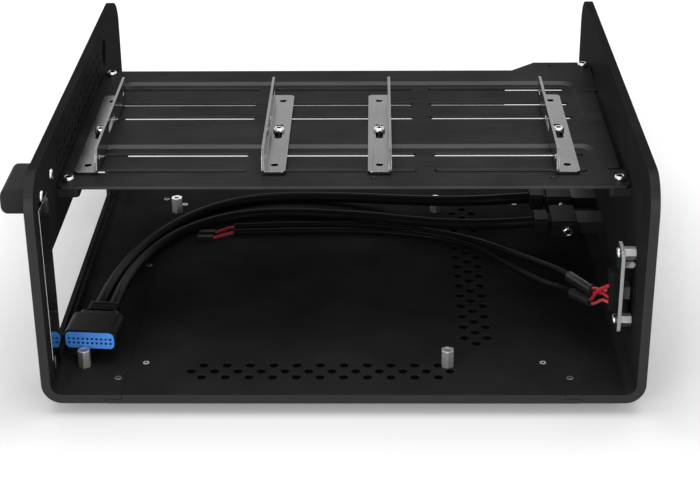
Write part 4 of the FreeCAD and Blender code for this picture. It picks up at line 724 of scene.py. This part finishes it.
bpy.ops.object.select_all(action="DESELECT")
bpy.ops.mesh.primitive_plane_add(size=floor_span, location=(0, 0, 0))
studio_floor = bpy.context.object
studio_floor.name = "studio_floor"
paper, nodes, links, shader = finish_named("white paper")
shader.inputs["Base Color"].default_value = (0.88, 0.88, 0.88, 1)
shader.inputs["Roughness"].default_value = 0.9
shader.inputs["Specular IOR Level"].default_value = 0.0
glow = nodes.new("ShaderNodeEmission")
glow.inputs["Color"].default_value = (1, 1, 1, 1)
scaled = math_node(nodes, "MULTIPLY")
spot = nodes.new("ShaderNodeTexCoord")
from_middle = vector_node(nodes, "SUBTRACT")
from_middle.inputs[1].default_value = (0, shade_behind / 2, 0)
either_side = vector_node(nodes, "ABSOLUTE")
outside = vector_node(nodes, "SUBTRACT")
outside.inputs[1].default_value = (cad_box[1][0], cad_box[1][1] + shade_behind / 2, 0)
apart = nodes.new("ShaderNodeSeparateXYZ")
reach = math_node(nodes, "MAXIMUM")
fade = nodes.new("ShaderNodeMapRange")
fade.interpolation_type = "SMOOTHSTEP"
fade.inputs["From Min"].default_value = 0.0
fade.inputs["From Max"].default_value = fade_width
fade.inputs["To Min"].default_value = glow_near
fade.inputs["To Max"].default_value = glow_far
added = nodes.new("ShaderNodeAddShader")
underside = nodes.new("ShaderNodeNewGeometry")
clear = nodes.new("ShaderNodeBsdfTransparent")
one_sided = nodes.new("ShaderNodeMixShader")
links.new(seen_directly(nodes, links), scaled.inputs[0])
links.new(spot.outputs["Object"], from_middle.inputs[0])
links.new(from_middle.outputs["Vector"], either_side.inputs[0])
links.new(either_side.outputs["Vector"], outside.inputs[0])
links.new(outside.outputs["Vector"], apart.inputs[0])
links.new(apart.outputs["X"], reach.inputs[0])
links.new(apart.outputs["Y"], reach.inputs[1])
links.new(reach.outputs["Value"], fade.inputs["Value"])
links.new(fade.outputs["Result"], scaled.inputs[1])
links.new(scaled.outputs["Value"], glow.inputs["Strength"])
links.new(shader.outputs["BSDF"], added.inputs[0])
links.new(glow.outputs["Emission"], added.inputs[1])
links.new(underside.outputs["Backfacing"], one_sided.inputs["Fac"])
links.new(added.outputs["Shader"], one_sided.inputs[1])
links.new(clear.outputs["BSDF"], one_sided.inputs[2])
links.new(one_sided.outputs["Shader"], nodes["Material Output"].inputs["Surface"])
studio_floor.data.materials.append(paper)

# Studio light: an even pale room with one wide soft box overhead and two at the front.
# The room shows white to the camera and in reflections, and lights the case at half of that.
room_light = 0.5
room_seen = 1.0
case_heart = (0, 0, 0.05)
room = bpy.data.worlds.new("pale room")
bpy.context.scene.world = room
room.use_nodes = True
nodes = room.node_tree.nodes
links = room.node_tree.links
backdrop = nodes["Background"]
backdrop.inputs["Color"].default_value = (1, 1, 1, 1)
level = nodes.new("ShaderNodeMapRange")
level.inputs["To Min"].default_value = room_light
level.inputs["To Max"].default_value = room_seen
links.new(seen_directly(nodes, links), level.inputs["Value"])
links.new(level.outputs["Result"], backdrop.inputs["Strength"])


def soft_box(name, place, size, power):
    """A rectangular lamp of a given size that looks at the case."""
    lamp = bpy.data.lights.new(name, "AREA")
    lamp.shape = "RECTANGLE"
    lamp.size = size[0]
    lamp.size_y = size[1]
    lamp.energy = power
    holder = bpy.data.objects.new(name, lamp)
    holder.location = place
    holder.rotation_euler = (Vector(case_heart) - Vector(place)).to_track_quat("-Z", "Y").to_euler()
    bpy.context.scene.collection.objects.link(holder)


soft_box("overhead_box", place=(0, 0.1, 1.4), size=(1.4, 1.0), power=8)
soft_box("front_left_box", place=(-0.9, -1.5, 0.55), size=(0.8, 0.8), power=14)
soft_box("front_right_box", place=(0.9, -1.5, 0.55), size=(0.8, 0.8), power=8)

# Camera: a long lens in front of the open near side, looking down on the tray.
# Its place is counted from the middle between the walls, and its lens from the picture's width.
photo_width = 700
focal_pixels = 1662.5
camera_place = (0.0133, -0.71265, 0.3657)
camera_yaw = math.radians(-0.96)
camera_pitch = math.radians(25.89)
camera_roll = math.radians(-0.48)
lens = bpy.data.cameras.new("studio_camera")
lens.sensor_width = 36.0
lens.lens = focal_pixels / photo_width * lens.sensor_width
camera = bpy.data.objects.new("studio_camera", lens)
turn = Matrix.Rotation(-camera_yaw, 4, "Z") @ Matrix.Rotation(math.pi / 2 - camera_pitch, 4, "X")
turn = turn @ Matrix.Rotation(camera_roll, 4, "Z")
camera.matrix_world = Matrix.Translation(spot_in_case(camera_place)) @ turn
bpy.context.scene.collection.objects.link(camera)
bpy.context.scene.camera = camera
bpy.context.scene.view_settings.view_transform = "Standard"
